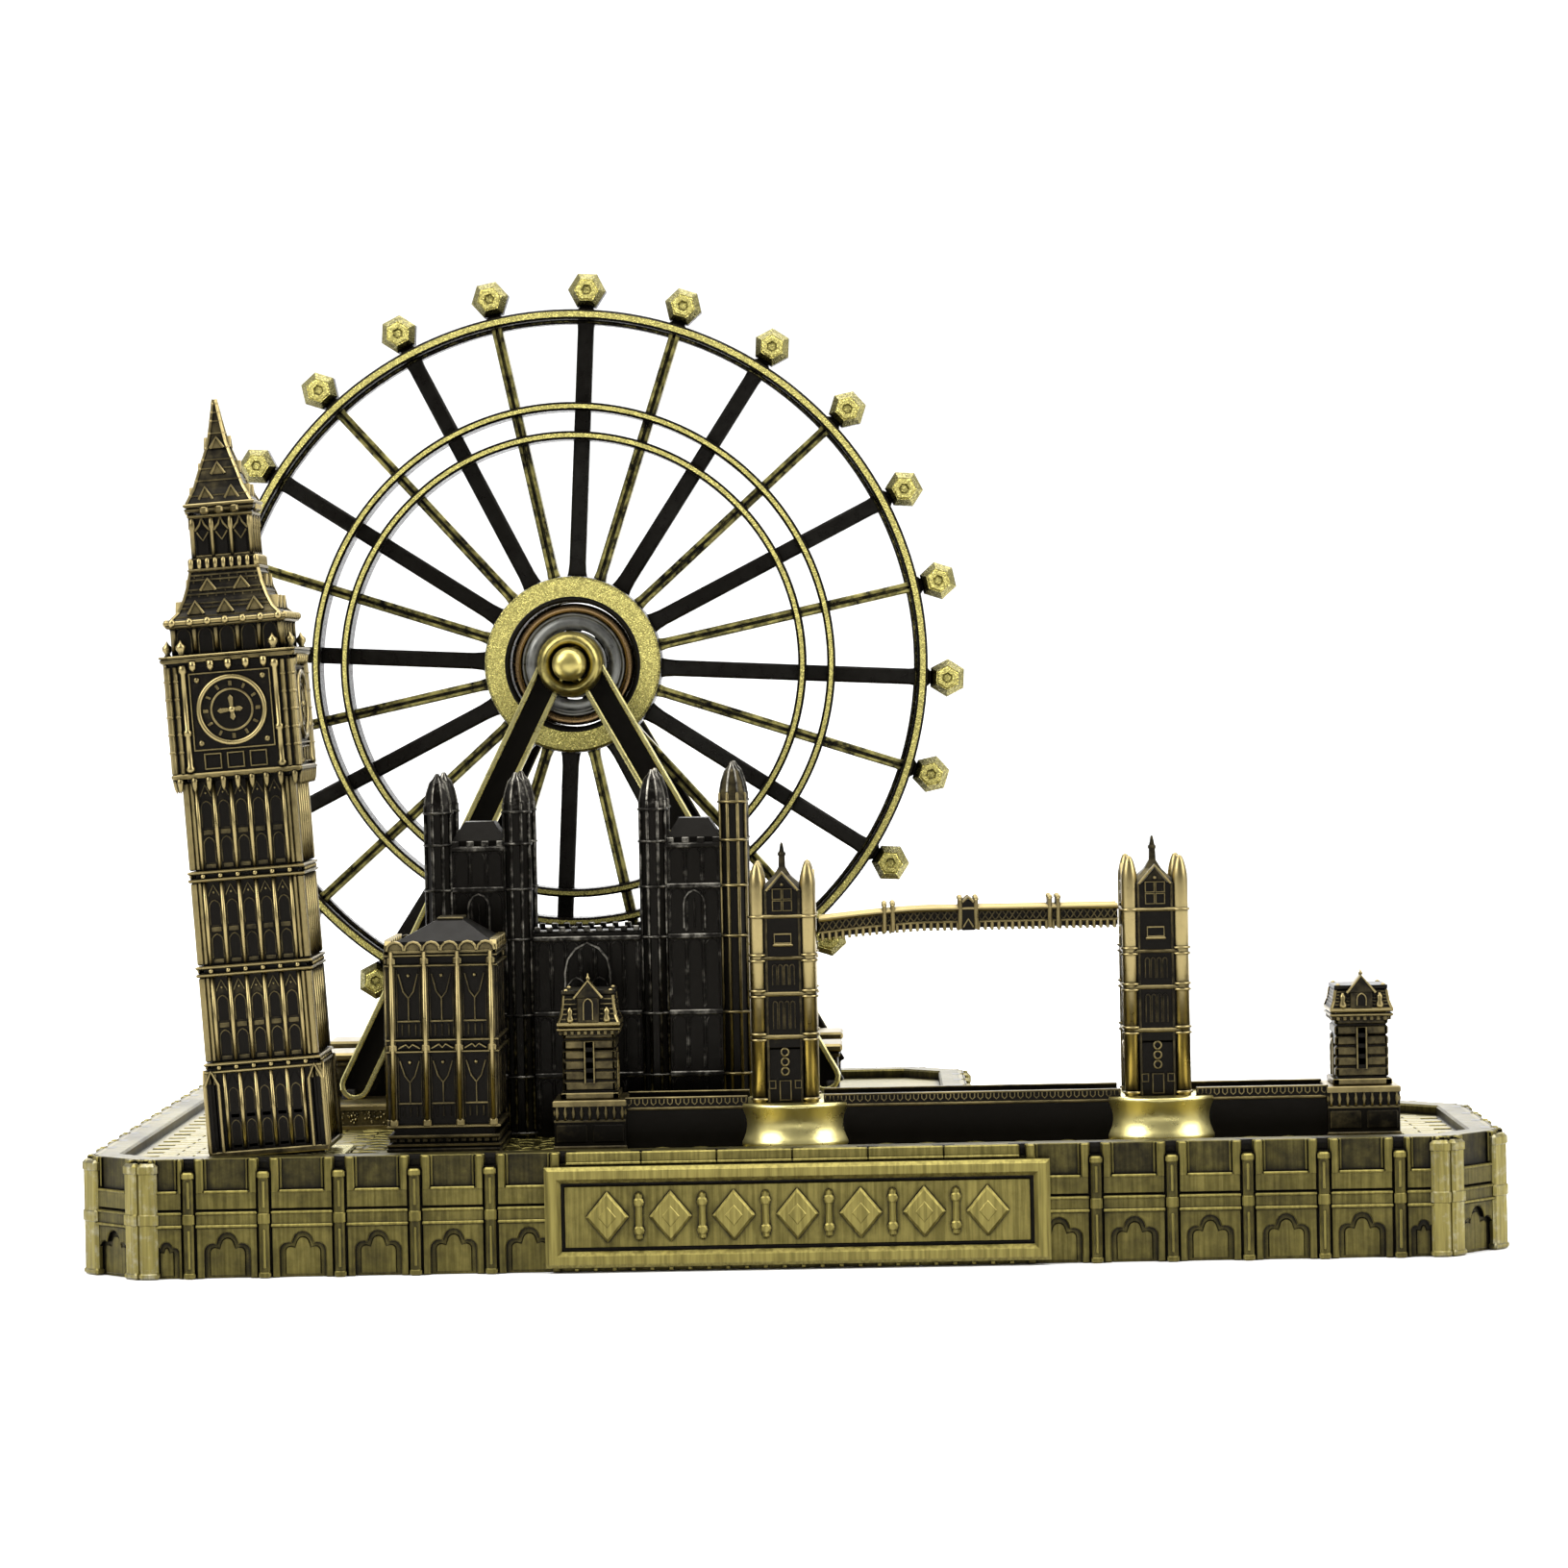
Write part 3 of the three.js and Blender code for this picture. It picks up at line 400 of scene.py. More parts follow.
def speckle_group():
    """The sparkling grain of a blasted face: small cells, each tilted and lit a little differently."""
    number = "NodeSocketFloat"
    tree, given, out = new_group("BlastedSpeckle", [("Cell Size", number, 6200.0)],
                                 [("Sparkle", number), ("Relief", number)])
    place = add_node(tree, "ShaderNodeTexCoord").outputs["Object"]
    cells = add_node(tree, "ShaderNodeTexVoronoi", {"Vector": place, "Scale": given.outputs["Cell Size"]})
    tone = add_node(tree, "ShaderNodeSeparateColor", {0: cells.outputs["Color"]}).outputs[0]
    tree.links.new(tone, out.inputs["Sparkle"])
    tree.links.new(cells.outputs["Distance"], out.inputs["Relief"])
    return tree


def facing_group():
    """1 on faces that look along the wheel's axle, 0 on the flanks between them."""
    tree, given, out = new_group("AxleFacing", [("Sharpness", "NodeSocketFloat", 0.75)],
                                 [("Facing", "NodeSocketFloat")])
    normal = add_node(tree, "ShaderNodeTexCoord").outputs["Normal"]
    across = add_node(tree, "ShaderNodeSeparateXYZ", {0: normal}).outputs["Y"]
    facing = math_node(tree, "ABSOLUTE", across)
    tree.links.new(smooth_range(tree, facing, given.outputs["Sharpness"], 0.98), out.inputs["Facing"])
    return tree


def group_node(tree, group, **inputs):
    """Places a node group; an input's name has underscores for the socket's spaces."""
    node = add_node(tree, "ShaderNodeGroup", node_tree=group)
    for label, value in inputs.items():
        socket = node.inputs[label.replace("_", " ")]
        if isinstance(value, bpy.types.NodeSocket):
            tree.links.new(value, socket)
        else:
            socket.default_value = value
    return node


def metal_material(name, metallic=1.0):
    """A Principled metal; returns the material, its tree and its shader."""
    material = bpy.data.materials.new(name)
    material.use_nodes = True
    tree = material.node_tree
    shader = tree.nodes["Principled BSDF"]
    shader.inputs["Metallic"].default_value = metallic
    return material, tree, shader


def add_bump(tree, shader, height, strength, depth):
    bump = add_node(tree, "ShaderNodeBump", {"Strength": strength, "Distance": depth, "Height": height})
    tree.links.new(bump.outputs["Normal"], shader.inputs["Normal"])


def rgba(colour):
    return (*colour, 1.0)


def brass_material(name, bright, dark, reach, wear, rub, gloss, dull, streaks=0.0):
    """Antiqued plating: worn colour on what stands out, dark lacquer in the hollows.

    reach is a hollow's width in millimetres, wear the patchiness, rub the overall
    rubbing, gloss and dull the roughness of plating and lacquer, streaks the brushing.
    """
    material, tree, shader = metal_material(name)
    patina = group_node(tree, shared_group("AntiquePatina"), Bright=rgba(bright), Dark=rgba(dark),
                        Hollow_Reach=reach * MM, Wear=wear, Rub=rub, Bright_Roughness=gloss,
                        Dark_Roughness=dull)
    colour = patina.outputs["Colour"]
    rough = patina.outputs["Roughness"]
    height = patina.outputs["Relief"]
    if streaks:
        streak = group_node(tree, shared_group("BrushedStreaks")).outputs["Streak"]
        shade = smooth_range(tree, streak, 0.3, 0.7, 1 - streaks, 1 + 0.4 * streaks)
        grey = add_node(tree, "ShaderNodeCombineColor", {0: shade, 1: shade, 2: shade}).outputs[0]
        colour = mix_colour(tree, 1.0, colour, grey, "MULTIPLY")
        height = math_node(tree, "ADD", height, streak)
    tree.links.new(colour, shader.inputs["Base Color"])
    tree.links.new(rough, shader.inputs["Roughness"])
    shader.inputs["Specular IOR Level"].default_value = 0.3
    metal = smooth_range(tree, patina.outputs["Mask"], 0.0, 0.6, 0.8, 1.0)
    tree.links.new(metal, shader.inputs["Metallic"])
    add_bump(tree, shader, height, 0.5, 0.03 * MM)
    return material


def wheel_material(name, bright, dark, sharpness=0.75):
    """Blasted, sparkling brass on the faces along the axle, black lacquer on the flanks."""
    material, tree, shader = metal_material(name)
    patina = group_node(tree, shared_group("AntiquePatina"), Bright=rgba(bright), Dark=rgba(dark),
                        Hollow_Reach=0.8 * MM, Wear=0.9, Rub=0.12, Grain_Size=1300.0)
    facing = group_node(tree, shared_group("AxleFacing"), Sharpness=sharpness).outputs["Facing"]
    speckle = group_node(tree, shared_group("BlastedSpeckle"))
    sparkle = speckle.outputs["Sparkle"]
    glint = smooth_range(tree, sparkle, 0.15, 0.95, 0.6, 1.45)
    grey = add_node(tree, "ShaderNodeCombineColor", {0: glint, 1: glint, 2: glint}).outputs[0]
    lively = mix_colour(tree, 1.0, patina.outputs["Colour"], grey, "MULTIPLY")
    tree.links.new(mix_colour(tree, facing, rgba(dark), lively), shader.inputs["Base Color"])
    tree.links.new(smooth_range(tree, sparkle, 0.0, 1.0, 0.5, 0.22), shader.inputs["Roughness"])
    add_bump(tree, shader, speckle.outputs["Relief"], 0.8, 0.06 * MM)
    return material


def steel_material(name, colour, rough, grain=900.0):
    """Ground steel or zinc with a fine cloudy variation."""
    material, tree, shader = metal_material(name)
    place = add_node(tree, "ShaderNodeTexCoord").outputs["Object"]
    noise = add_node(tree, "ShaderNodeTexNoise",
                     {"Vector": place, "Scale": grain, "Detail": 3.0}).outputs["Fac"]
    shade = smooth_range(tree, noise, 0.25, 0.75)
    dim = tuple(0.72 * part for part in colour)
    tree.links.new(mix_colour(tree, shade, rgba(dim), rgba(colour)), shader.inputs["Base Color"])
    tree.links.new(smooth_range(tree, noise, 0.2, 0.8, rough * 0.75, rough * 1.4), shader.inputs["Roughness"])
    add_bump(tree, shader, noise, 0.3, 0.01 * MM)
    return material


def floor_material(name, colour):
    """The stage's pale matt sweep."""
    material, tree, shader = metal_material(name, 0.0)
    place = add_node(tree, "ShaderNodeTexCoord").outputs["Object"]
    noise = add_node(tree, "ShaderNodeTexNoise",
                     {"Vector": place, "Scale": 8.0, "Detail": 2.0}).outputs["Fac"]
    dim = tuple(0.985 * part for part in colour)
    tree.links.new(mix_colour(tree, noise, rgba(dim), rgba(colour)), shader.inputs["Base Color"])
    shader.inputs["Roughness"].default_value = 0.6
    shader.inputs["Specular IOR Level"].default_value = 0.2
    return material


GROUP_MAKERS = {
    "AntiquePatina": patina_group, "BrushedStreaks": streak_group,
    "BlastedSpeckle": speckle_group, "AxleFacing": facing_group,
}


def shared_group(name):
    """The node group of that name, built the first time that it is asked for."""
    return bpy.data.node_groups.get(name) or GROUP_MAKERS[name]()


# Each brass finish: its worn colour, its dark colour, then reach, wear, rub, gloss, dull
# and streaks, as brass_material takes them.
BRASS_FINISHES = {
    "TrayBrass": ("olive_brass", "lacquer", 1.1, 0.35, 0.12, 0.34, 0.45, 0.35),
    "RibBrass": ("worn_brass", "lacquer", 0.9, 0.5, 0.0, 0.3, 0.4),
    "BlackBronze": ("worn_bronze", "lacquer", 0.5, 1.9, -0.33, 0.3, 0.34),
    "RubbedBrass": ("worn_silver", "olive_brass", 0.5, 2.4, -0.3, 0.3, 0.4, 0.3),
    "WornEdge": ("bright_edge", "lacquer", 0.6, 1.6, 0.15, 0.28, 0.4),
    "BarrelBrass": ("barrel_brass", "lacquer", 0.9, 1.6, -0.05, 0.3, 0.4),
    "PierBrass": ("pier_brass", "worn_brass", 0.6, 0.3, 0.35, 0.3, 0.4),
    "ButtonBrass": ("button_brass", "lacquer", 0.5, 0.6, 0.2, 0.34, 0.4),
    # The broad spokes' near-black finish is a painted dark reflection: their flat faces only mirror the dim
    # surroundings. The hub's black lip shares it.
    "BlackAndPaintedReflection": ("black_and_painted_reflection", "lacquer", 0.4, 0.2, -0.2, 0.25, 0.3),
    "FleckedSpoke": ("flecked_brass", "lacquer", 0.35, 1.9, -0.12, 0.3, 0.3),
    "BearingBronze": ("bearing_bronze", "lacquer", 0.5, 0.5, 0.1, 0.25, 0.4),
}


def finish(name):
    """One of the souvenir's finishes, made the first time that it is asked for."""
    known = bpy.data.materials.get(name)
    if known:
        return known
    tones = bpy.context.scene.skyline_finish
    if name in BRASS_FINISHES:
        worn, dark, *look = BRASS_FINISHES[name]
        return brass_material(name, getattr(tones, worn), getattr(tones, dark), *look)
    makers = {
        "WheelBrass": lambda: wheel_material(name, tones.wheel_brass, tones.lacquer),
        "CapsuleBrass": lambda: wheel_material(name, tones.wheel_brass, tones.lacquer, 0.15),
        "BearingSteel": lambda: steel_material(name, tones.bearing_steel, 0.34),
        "ZincPlate": lambda: steel_material(name, tones.zinc_plate, 0.34),
        "StagePaper": lambda: floor_material(name, tones.stage_paper),
    }
    return makers[name]()


# ------------------------------------------------------------------ the tray

TRAY_LO, TRAY_HI = mm_box("base_tray")
PLATE_LO, PLATE_HI = mm_box("name_plate")
WALL_BACK = 0.9             # how far in the wall's castings reach, from its face
ARCH_TOP = 6.0              # heights on the wall: the arched field, the rail, the open panel
RAIL_FOOT, RAIL_TOP = 7.98, 10.25
SHORTEST_BAY = 2.9
PILASTER_AT = 1.25          # from each end of a wall
SLAB_LONG, SLAB_DEEP = 4.4, 2.25            # paving slabs, with their joints
WATER_LEFT, WATER_RIGHT, WATER_REAR = -54, 62, -8


def wall_places(outline):
    """For each wall: its place (X along it, Y inwards) and its length."""
    for (x, y), (qx, qy) in zip(outline, outline[1:] + outline[:1]):
        along = Vector((qx - x, qy - y, 0))
        length = along.length
        along.normalize()
        inward = Vector((-along.y, along.x, 0))
        place = Matrix.Translation((x, y, 0)) @ Matrix((along, inward, (0, 0, 1))).transposed().to_4x4()
        yield place, length


def tray_outline(shape):
    """The walls' outer faces, counter-clockwise from the front left."""
    out, cut = shape.buttress_out / MM, shape.chamfer / MM
    left, right = TRAY_LO.x + out, TRAY_HI.x - out
    front, rear = TRAY_LO.y + out, TRAY_HI.y - out
    wing, step = shape.wing_x / MM, shape.wing_y / MM
    return [
        (left + cut, front), (right - cut, front), (right, front + cut), (right, step - cut),
        (right - cut, step), (wing, step), (wing, rear - cut), (wing - cut, rear),
        (left + cut, rear), (left, rear - cut), (left, front + cut),
    ]


def buttress_stops(length, pitch, middle):
    """Where the buttresses stand along a wall, with the wall's two ends."""
    odd = 0 if middle else 0.5
    count = int(length // pitch) + 1
    stops = [length / 2 + (i + odd) * pitch for i in range(-count, count + 1)]
    return [0.0, *[s for s in stops if SHORTEST_BAY < s < length - SHORTEST_BAY], length]


def plate_span(shape, front):
    """The stretch of the front wall behind the name plate, from the wall's left end."""
    if not front:
        return 0.0, 0.0
    wall_start = TRAY_LO.x + (shape.buttress_out + shape.chamfer) / MM
    return PLATE_LO.x - wall_start - 0.3, PLATE_HI.x - wall_start + 0.3


def wall_buttress(c, x, top):
    """A slim buttress with a bright capped head below its notch in the parapet."""
    c.box(x - 0.6, x + 0.6, -0.36, WALL_BACK, 0.0, top - 1.75, 0.5, 0.2)
    c.box(x - 0.72, x + 0.72, -0.5, WALL_BACK, top - 2.4, top - 1.5, 1.0, 0.2)
    c.box(x - 0.7, x + 0.7, -0.46, WALL_BACK, 6.2, 7.7, 0.75, 0.22)
    c.box(x - 0.7, x + 0.7, -0.46, WALL_BACK, 0.0, 0.75, 0.7, 0.18)
    c.box(x - 0.16, x + 0.16, -0.5, 0.2, 1.1, 5.7, 0.9, 0.1)
    c.box(x - 0.16, x + 0.16, -0.46, 0.2, 8.2, top - 2.6, 0.9, 0.1)


def wall_bay(c, x0, x1, top):
    """One bay: open panel over a rail, a string course, and an arched field below."""
    w, mid = x1 - x0, (x0 + x1) / 2
    side = 0.14 * w
    for a, b in ((x0, x0 + side), (x1 - side, x1)):
        c.box(a + 0.05, b, 0.04, WALL_BACK, 9.9, top, 0.72, 0.16)
    c.box(x0 + side - 0.1, x1 - side + 0.1, 0.62, WALL_BACK, 10.2, top, 0.42, 0.1)
    for a in (x0 + side + 0.05, x1 - side - 0.35):
        c.box(a, a + 0.3, 0.3, WALL_BACK, 10.4, top, 0.6, 0.1)
    c.box(x0, x1, 0.1, WALL_BACK, RAIL_FOOT, RAIL_TOP, 0.62, 0.18)
    c.box(x0 + side, x1 - side, 0.0, 0.5, RAIL_TOP - 0.3, RAIL_TOP + 0.05, 0.85, 0.14)
    c.box(x0, x1, 0.02, WALL_BACK, ARCH_TOP, RAIL_FOOT - 0.12, 0.6, 0.16)
    c.box(x0, x1, -0.1, WALL_BACK, 7.45, 7.8, 0.8, 0.14)
    c.box(x0, x1, -0.2, WALL_BACK, ARCH_TOP - 0.05, ARCH_TOP + 0.3, 0.95, 0.14)
    half, spring = 0.37 * w, 3.1
    arch = trefoil_arch(mid, half, spring)
    field = opening_plate(x0 + 0.05, x1 - 0.05, 0.0, ARCH_TOP, arch)
    c.slab(field, 0.12, WALL_BACK, 0.5, 0.14)
    inner = trefoil_arch(mid, half - 0.42, spring - 0.12)
    c.slab(closed_window(inner, 0.05), 0.62, WALL_BACK, 0.5, 0.3)


def corner_pilaster(c, x, top, paint):
    """A broad rubbed strip at the end of a wall."""
    c.box(x - 1.1, x + 1.1, -0.26, WALL_BACK, 0.0, top - 0.6, 0.75, 0.35, paint)
    for low, high, shine, edge in ((6.1, 7.8, 0.85, 0.3), (top - 1.9, top - 0.4, 0.9, 0.35),
                                   (0.0, 0.8, 0.8, 0.25)):
        c.box(x - 1.2, x + 1.2, -0.4, WALL_BACK, low, high, shine, edge, paint)


def draw_wall(c, length, shape, top, front):
    """A wall's buttresses, its bays between them, and a pilaster at each end."""
    stops = buttress_stops(length, shape.bay / MM, front)
    plate = plate_span(shape, front)
    for x in stops[1:-1]:
        if not plate[0] - 0.4 < x < plate[1] + 0.4:
            wall_buttress(c, x, top)
    for x0, x1 in zip(stops, stops[1:]):
        if plate[0] < (x0 + x1) / 2 < plate[1]:
            draw_plate_backing(c, x0, x1, top)
            continue
        start = x0 + (1.3 if x0 == 0 else 0.75)
        end = x1 - (1.3 if x1 == length else 0.75)
        if end - start > 1.2:
            wall_bay(c, start, end, top)
    for x in (PILASTER_AT, length - PILASTER_AT):
        corner_pilaster(c, x, top, 1)


def draw_plate_backing(c, x0, x1, top):
    """The strip of wall that shows over and under the name plate."""
    c.box(x0, x1, 0.2, WALL_BACK, 12.55, top, 0.75, 0.15)
    c.box(x0, x1, 0.0, 0.6, 12.5, 12.85, 0.95, 0.1)
    for i in range(4):
        x = x0 + (i + 0.5) * (x1 - x0) / 4
        c.box(x - 0.25, x + 0.25, -0.02, 0.6, 0.05, 0.45, 0.9, 0.06)


def parapet_lips(c, length, shape, top, front):
    """The parapet's outer edge, cut by a notch over every buttress, wider over the plate."""
    stops = buttress_stops(length, shape.bay / MM, front)
    plate = plate_span(shape, front)
    for x0, x1 in zip(stops, stops[1:]):
        gap = 1.15 if plate[0] < (x0 + x1) / 2 < plate[1] else 0.62
        start = x0 + (0.0 if x0 == 0 else gap)
        end = x1 - (0.0 if x1 == length else gap)
        c.box(start, end, 0.85, 1.7, top - 1.4, top, 0.7, 0.12)
    for x in stops[1:-1]:
        c.box(x - 1.15, x + 1.15, 1.2, 2.3, top - 0.5, top + 0.01, 0.0, 0.02, 2)


def build_tray(shape):
    """The L-shaped tray: walls with a moulded parapet, and a floor paved and rippled."""
    c = Casting()
    outline = tray_outline(shape)
    top = TRAY_HI.z
    thick, floor = shape.parapet / MM, shape.floor_height / MM
    ring = [(0.75, 0.0), (0.75, top - 1.35), (1.55, top - 1.35), (1.55, top), (thick - 0.25, top),
            (thick, top - 0.25), (thick, floor - 1.2), (2.4, floor - 2.5), (2.4, 0.0)]
    c.moulding(outline, ring, 0.45)
    c.plate(inset(outline, thick - 0.4), floor - 2.5, floor, 0.6, 0.02)
    for i, (place, length) in enumerate(wall_places(outline)):
        c.place = place
        draw_wall(c, length, shape, top, i == 0)
        parapet_lips(c, length, shape, top, i == 0)
    c.place = Matrix.Identity(4)
    draw_paving(c, outline, floor, thick)
    coats = [finish("TrayBrass"), finish("RubbedBrass"), finish("BlackBronze")]
    return mount(c, "tray_with_walls", coats, "stand", ["base_tray"])


def inside(outline, x, y, margin):
    """Whether a point lies inside an outline by more than margin."""
    shrunk = inset(outline, margin)
    hit = False
    for (ax, ay), (bx, by) in zip(shrunk, shrunk[1:] + shrunk[:1]):
        if (ay > y) != (by > y) and x < ax + (y - ay) * (bx - ax) / (by - ay):
            hit = not hit
    return hit


def draw_paving(c, outline, floor, thick):
    """Staggered slabs at the tray's ends, rippled water between the buildings."""
    rng = random.Random(5)
    for row in range(34):
        y = -52 + row * SLAB_DEEP
        for col in range(70):
            x = -81 + (col + 0.5 * (row % 2)) * SLAB_LONG
            water = WATER_LEFT < x < WATER_RIGHT and y < WATER_REAR
            if water or not inside(outline, x, y, thick + 1.6):
                continue
            lift = 0.1 + 0.05 * rng.random()
            c.box(x - 2.1, x + 2.1, y - 1.03, y + 1.03, floor - 0.1, floor + lift, 1.0, 0.08)
    wave_long, wave_deep = 5.4, 1.65
    for row in range(26):
        y = -51.2 + row * wave_deep
        for col in range(22):
            x = WATER_LEFT + (col + 0.5 * (row % 2)) * wave_long + rng.uniform(-0.8, 0.8)
            if inside(outline, x, y, thick + 2.2):
                draw_ripple(c, x, y, floor, rng)


def draw_ripple(c, x, y, floor, rng):
    """A low crescent wave."""
    length, bow = rng.uniform(2.6, 4.4), rng.uniform(0.2, 0.55)
    rings = []
    for i in range(7):
        t = i / 6 - 0.5
        swell = max(0.03, math.cos(math.pi * t))
        mx, my = x + t * length, y + bow * math.cos(TAU * t)
        half, h = 0.42 * swell, 0.22 * swell
        rings.append([(mx, my - half, floor - 0.05), (mx, my + half, floor - 0.05),
                      (mx, my + 0.15 * swell, floor + h), (mx, my - 0.1 * swell, floor + h)])
    c.loft(rings, 0.75, smooth=True)


def build_name_plate(shape):
    """Mitred frame, dark groove, brushed field and a bold lozenge row."""
    c = Casting()
    x0, x1, z0, z1 = PLATE_LO.x, PLATE_HI.x, PLATE_LO.z, PLATE_HI.z
    front, back = PLATE_LO.y, PLATE_HI.y
    border = shape.plate_frame / MM
    outline = [(x0, z0), (x1, z0), (x1, z1), (x0, z1)]
    rail = [(0.0, back), (0.0, front + 0.45), (0.45, front + 0.02), (border - 0.5, front + 0.02),
            (border, front + 0.55), (border, back)]
    c.moulding(outline, rail, 0.9, upright=True)
    c.slab(inset(outline, border - 0.2), front + 1.1, back, 0.1)
    field = inset(outline, border + 0.35)
    c.slab(field, front + 0.75, back, 0.62, 0.12)
    mid, half = (z0 + z1) / 2, (z1 - z0) / 2 - border - 1.0
    count, pitch = 7, 7.4
    for i in range(count):
        x = (x0 + x1) / 2 + (i - (count - 1) / 2) * pitch
        lozenge = [(x - 2.5, mid), (x, mid - half), (x + 2.5, mid), (x, mid + half)]
        c.slab(lozenge, front + 0.12, back, 0.95, 0.28)
        c.slab(inset(lozenge, 1.05), front + 0.02, front + 0.5, 1.0, 0.15)
        if i < count - 1:
            bar_x = x + pitch / 2
            low, high = mid - half + 0.2, mid + half - 0.2
            c.box(bar_x - 0.4, bar_x + 0.4, front + 0.15, back, low, high, 0.95, 0.25)
            for dz in (-1.65, 1.65):
                c.slab(round_stud(bar_x, mid + dz, 0.62), front + 0.05, front + 0.8, 1.0, 0.2)
    return mount(c, "ornament_plate", [finish("TrayBrass")], "stand", ["name_plate"])


def round_stud(x, z, r, sides=10):
    """A small disc's outline."""
    return [(x + r * math.cos(TAU * i / sides), z + r * math.sin(TAU * i / sides)) for i in range(sides)]


# ------------------------------------------------------- wheel and its mounting

RING_LO, RING_HI = mm_box("bearing_outer_ring")
AXIS = (RING_LO + RING_HI) / 2
PLINTH_DECK = 16.1                          # height of the platform between the blocks
BALL_R, BALL_ORBIT, GROOVE_R = 1.4, 5.3, 1.5
SPOKES = 24
SPOKE_FROM, SPOKE_TO = 11.3, 45.6           # along the wheel's radius
CAPSULE_AT = 49.1


def build_plinth():
    """Rough platform with two stepped blocks between the A-frames' feet."""
    c = Casting()
    lo, hi = mm_box("wheel_plinth")
    deck = PLINTH_DECK
    a, b = lo.x + 0.7, hi.x - 0.7
    outline = [(a, lo.y), (b, lo.y), (b, hi.y), (a, hi.y)]
    c.plate(inset(outline, 0.15), lo.z, deck, 0.55, 0.4)
    c.moulding(outline, [(0.0, lo.z), (0.0, lo.z + 0.5), (0.3, lo.z + 0.7), (0.9, lo.z)], 0.85)
    nosing = [(0.0, deck - 0.75), (0.05, deck - 0.25), (0.5, deck - 0.02), (0.9, deck - 0.75)]
    c.moulding(outline, nosing, 0.95)
    rng = random.Random(11)
    for _ in range(520):
        x, z = rng.uniform(a + 0.6, b - 0.6), rng.uniform(lo.z + 0.8, deck - 0.9)
        r = rng.uniform(0.1, 0.24)
        c.ball(x, lo.y + 0.2, z, r, rng.uniform(0.5, 1.0), 5)
    for side in BOTH:
        y = AXIS.y + side * 10
        c.box(a, b, y - 4, y + 4, deck - 0.4, hi.z - 1.3, 0.35, 0.2)
        c.box(a - 0.35, b + 0.35, y - 4.15, y + 4.15, hi.z - 1.75, hi.z - 1.1, 0.55, 0.2)
        c.box(a - 0.7, b + 0.7, y - 4.3, y + 4.3, hi.z - 1.05, hi.z, 0.8, 0.3)
    return mount(c, "wheel_plinth_casting", [finish("RibBrass")], "stand", ["wheel_plinth"])


def a_frame_leg(c, foot, top, side, width, depth):
    """A channel leg: two bright flanges with a black web between them, round at the foot."""
    foot, top = Vector(foot), Vector(top)
    along = (top - foot).normalized()
    across = Vector((0, side, 0)).cross(along).normalized()
    out = across.cross(along)
    if out.y * side < 0:
        out = -out
    outer = c.place.copy()
    c.place = outer @ Matrix.Translation(foot) @ Matrix((across, out, along)).transposed().to_4x4()
    length = (top - foot).length
    h, d = width / 2, depth / 2
    lip, toe = 0.62, 1.7
    reach = h - lip / 2
    c.box(-h + 0.1, h - 0.1, -d, d - 1.3, 0.3, length, 0.1, 0.15)
    path = [(reach, length), *arc(0, toe, reach, 0, -180, 8), (-reach, length)]
    c.place = c.place @ Matrix.Scale(-1, 4, (0, 1, 0))
    c.bar(path, lip, -d, d * 0.6, 0.95, paint=1)
    c.place = outer


def build_a_frame(side, node):
    """Two channel legs that meet under the domed barrel round the axle."""
    c = Casting()
    foot_y, foot_z = AXIS.y + side * 17.4, PLINTH_DECK + 0.15
    for foot_x, lean in ((-29.0, -2.0), (33.0, 2.0)):
        top = (AXIS.x + lean, AXIS.y + side * 8.6, AXIS.z)
        a_frame_leg(c, (AXIS.x + foot_x, foot_y, foot_z), top, side, 3.9, 2.4)
        c.turned(AXIS.x + foot_x, foot_y, [(1.0, 14.4), (1.0, foot_z + 1.1)], 0.3)
    barrel, near, far, dome = 4.3, side * 5.2, side * 12, 2.6
    shell = [(2.5, near), (barrel - 0.1, near), (barrel, near + side * 0.3), (barrel, far - side * dome)]
    for i in range(1, 9):
        a = math.pi / 2 * i / 8
        shell.append((barrel - 1.2 * (1 - math.cos(a)), far - side * (dome - 2.1 * math.sin(a))))
    shell += [(2.75, far - side * 0.7), (2.5, far - side * 1.6)]
    c.spun(*AXIS, shell, 0.9, 64, paint=2, ring=True)
    name = "front_a_frame_casting" if side < 0 else "rear_a_frame_casting"
    coats = [finish("BlackBronze"), finish("WornEdge"), finish("BarrelBrass")]
    return mount(c, name, coats, "stand", [node])


def build_axle():
    """The axle pin with its button end, its end cap and the two spacer sleeves."""
    coat = [finish("ButtonBrass")]
    front, back = along_axle("axle")
    pin = [(0.01, front), (0.7, front + 0.06), (1.3, front + 0.25), (1.75, front + 0.6), (2.0, front + 1.0),
           (2.15, front + 1.5), (2.2, front + 1.9), (2.2, back - 0.2), (2.0, back), (0.01, back)]
    turned_part(pin, 1.0, 40, "axle_pin", coat, "axle", False)
    a, b = along_axle("axle_cap")
    cap = [(2.5, a), (3.4, a), (3.4, b - 1.1), (3.2, b - 0.6), (2.6, b - 0.25), (1.4, b - 0.05), (0.01, b),
           (0.01, b - 1.2), (2.5, b - 1.2)]
    turned_part(cap, 0.95, 40, "axle_end_cap", coat, "axle_cap", False)
    for node in ("front_spacer", "rear_spacer"):
        a, b = along_axle(node)
        mid = (a + b) / 2
        sleeve = [(2.5, a), (3.5, a), (3.6, a + 0.12), (3.6, mid - 0.2), (3.42, mid), (3.6, mid + 0.2),
                  (3.6, b - 0.12), (3.5, b), (2.5, b)]
        turned_part(sleeve, 0.4, 40, node + "_sleeve", [finish("BlackBronze")], node)


def along_axle(node):
    """A node's two ends along the axle, from the wheel's middle."""
    lo, hi = mm_box(node)
    return lo.y - AXIS.y, hi.y - AXIS.y


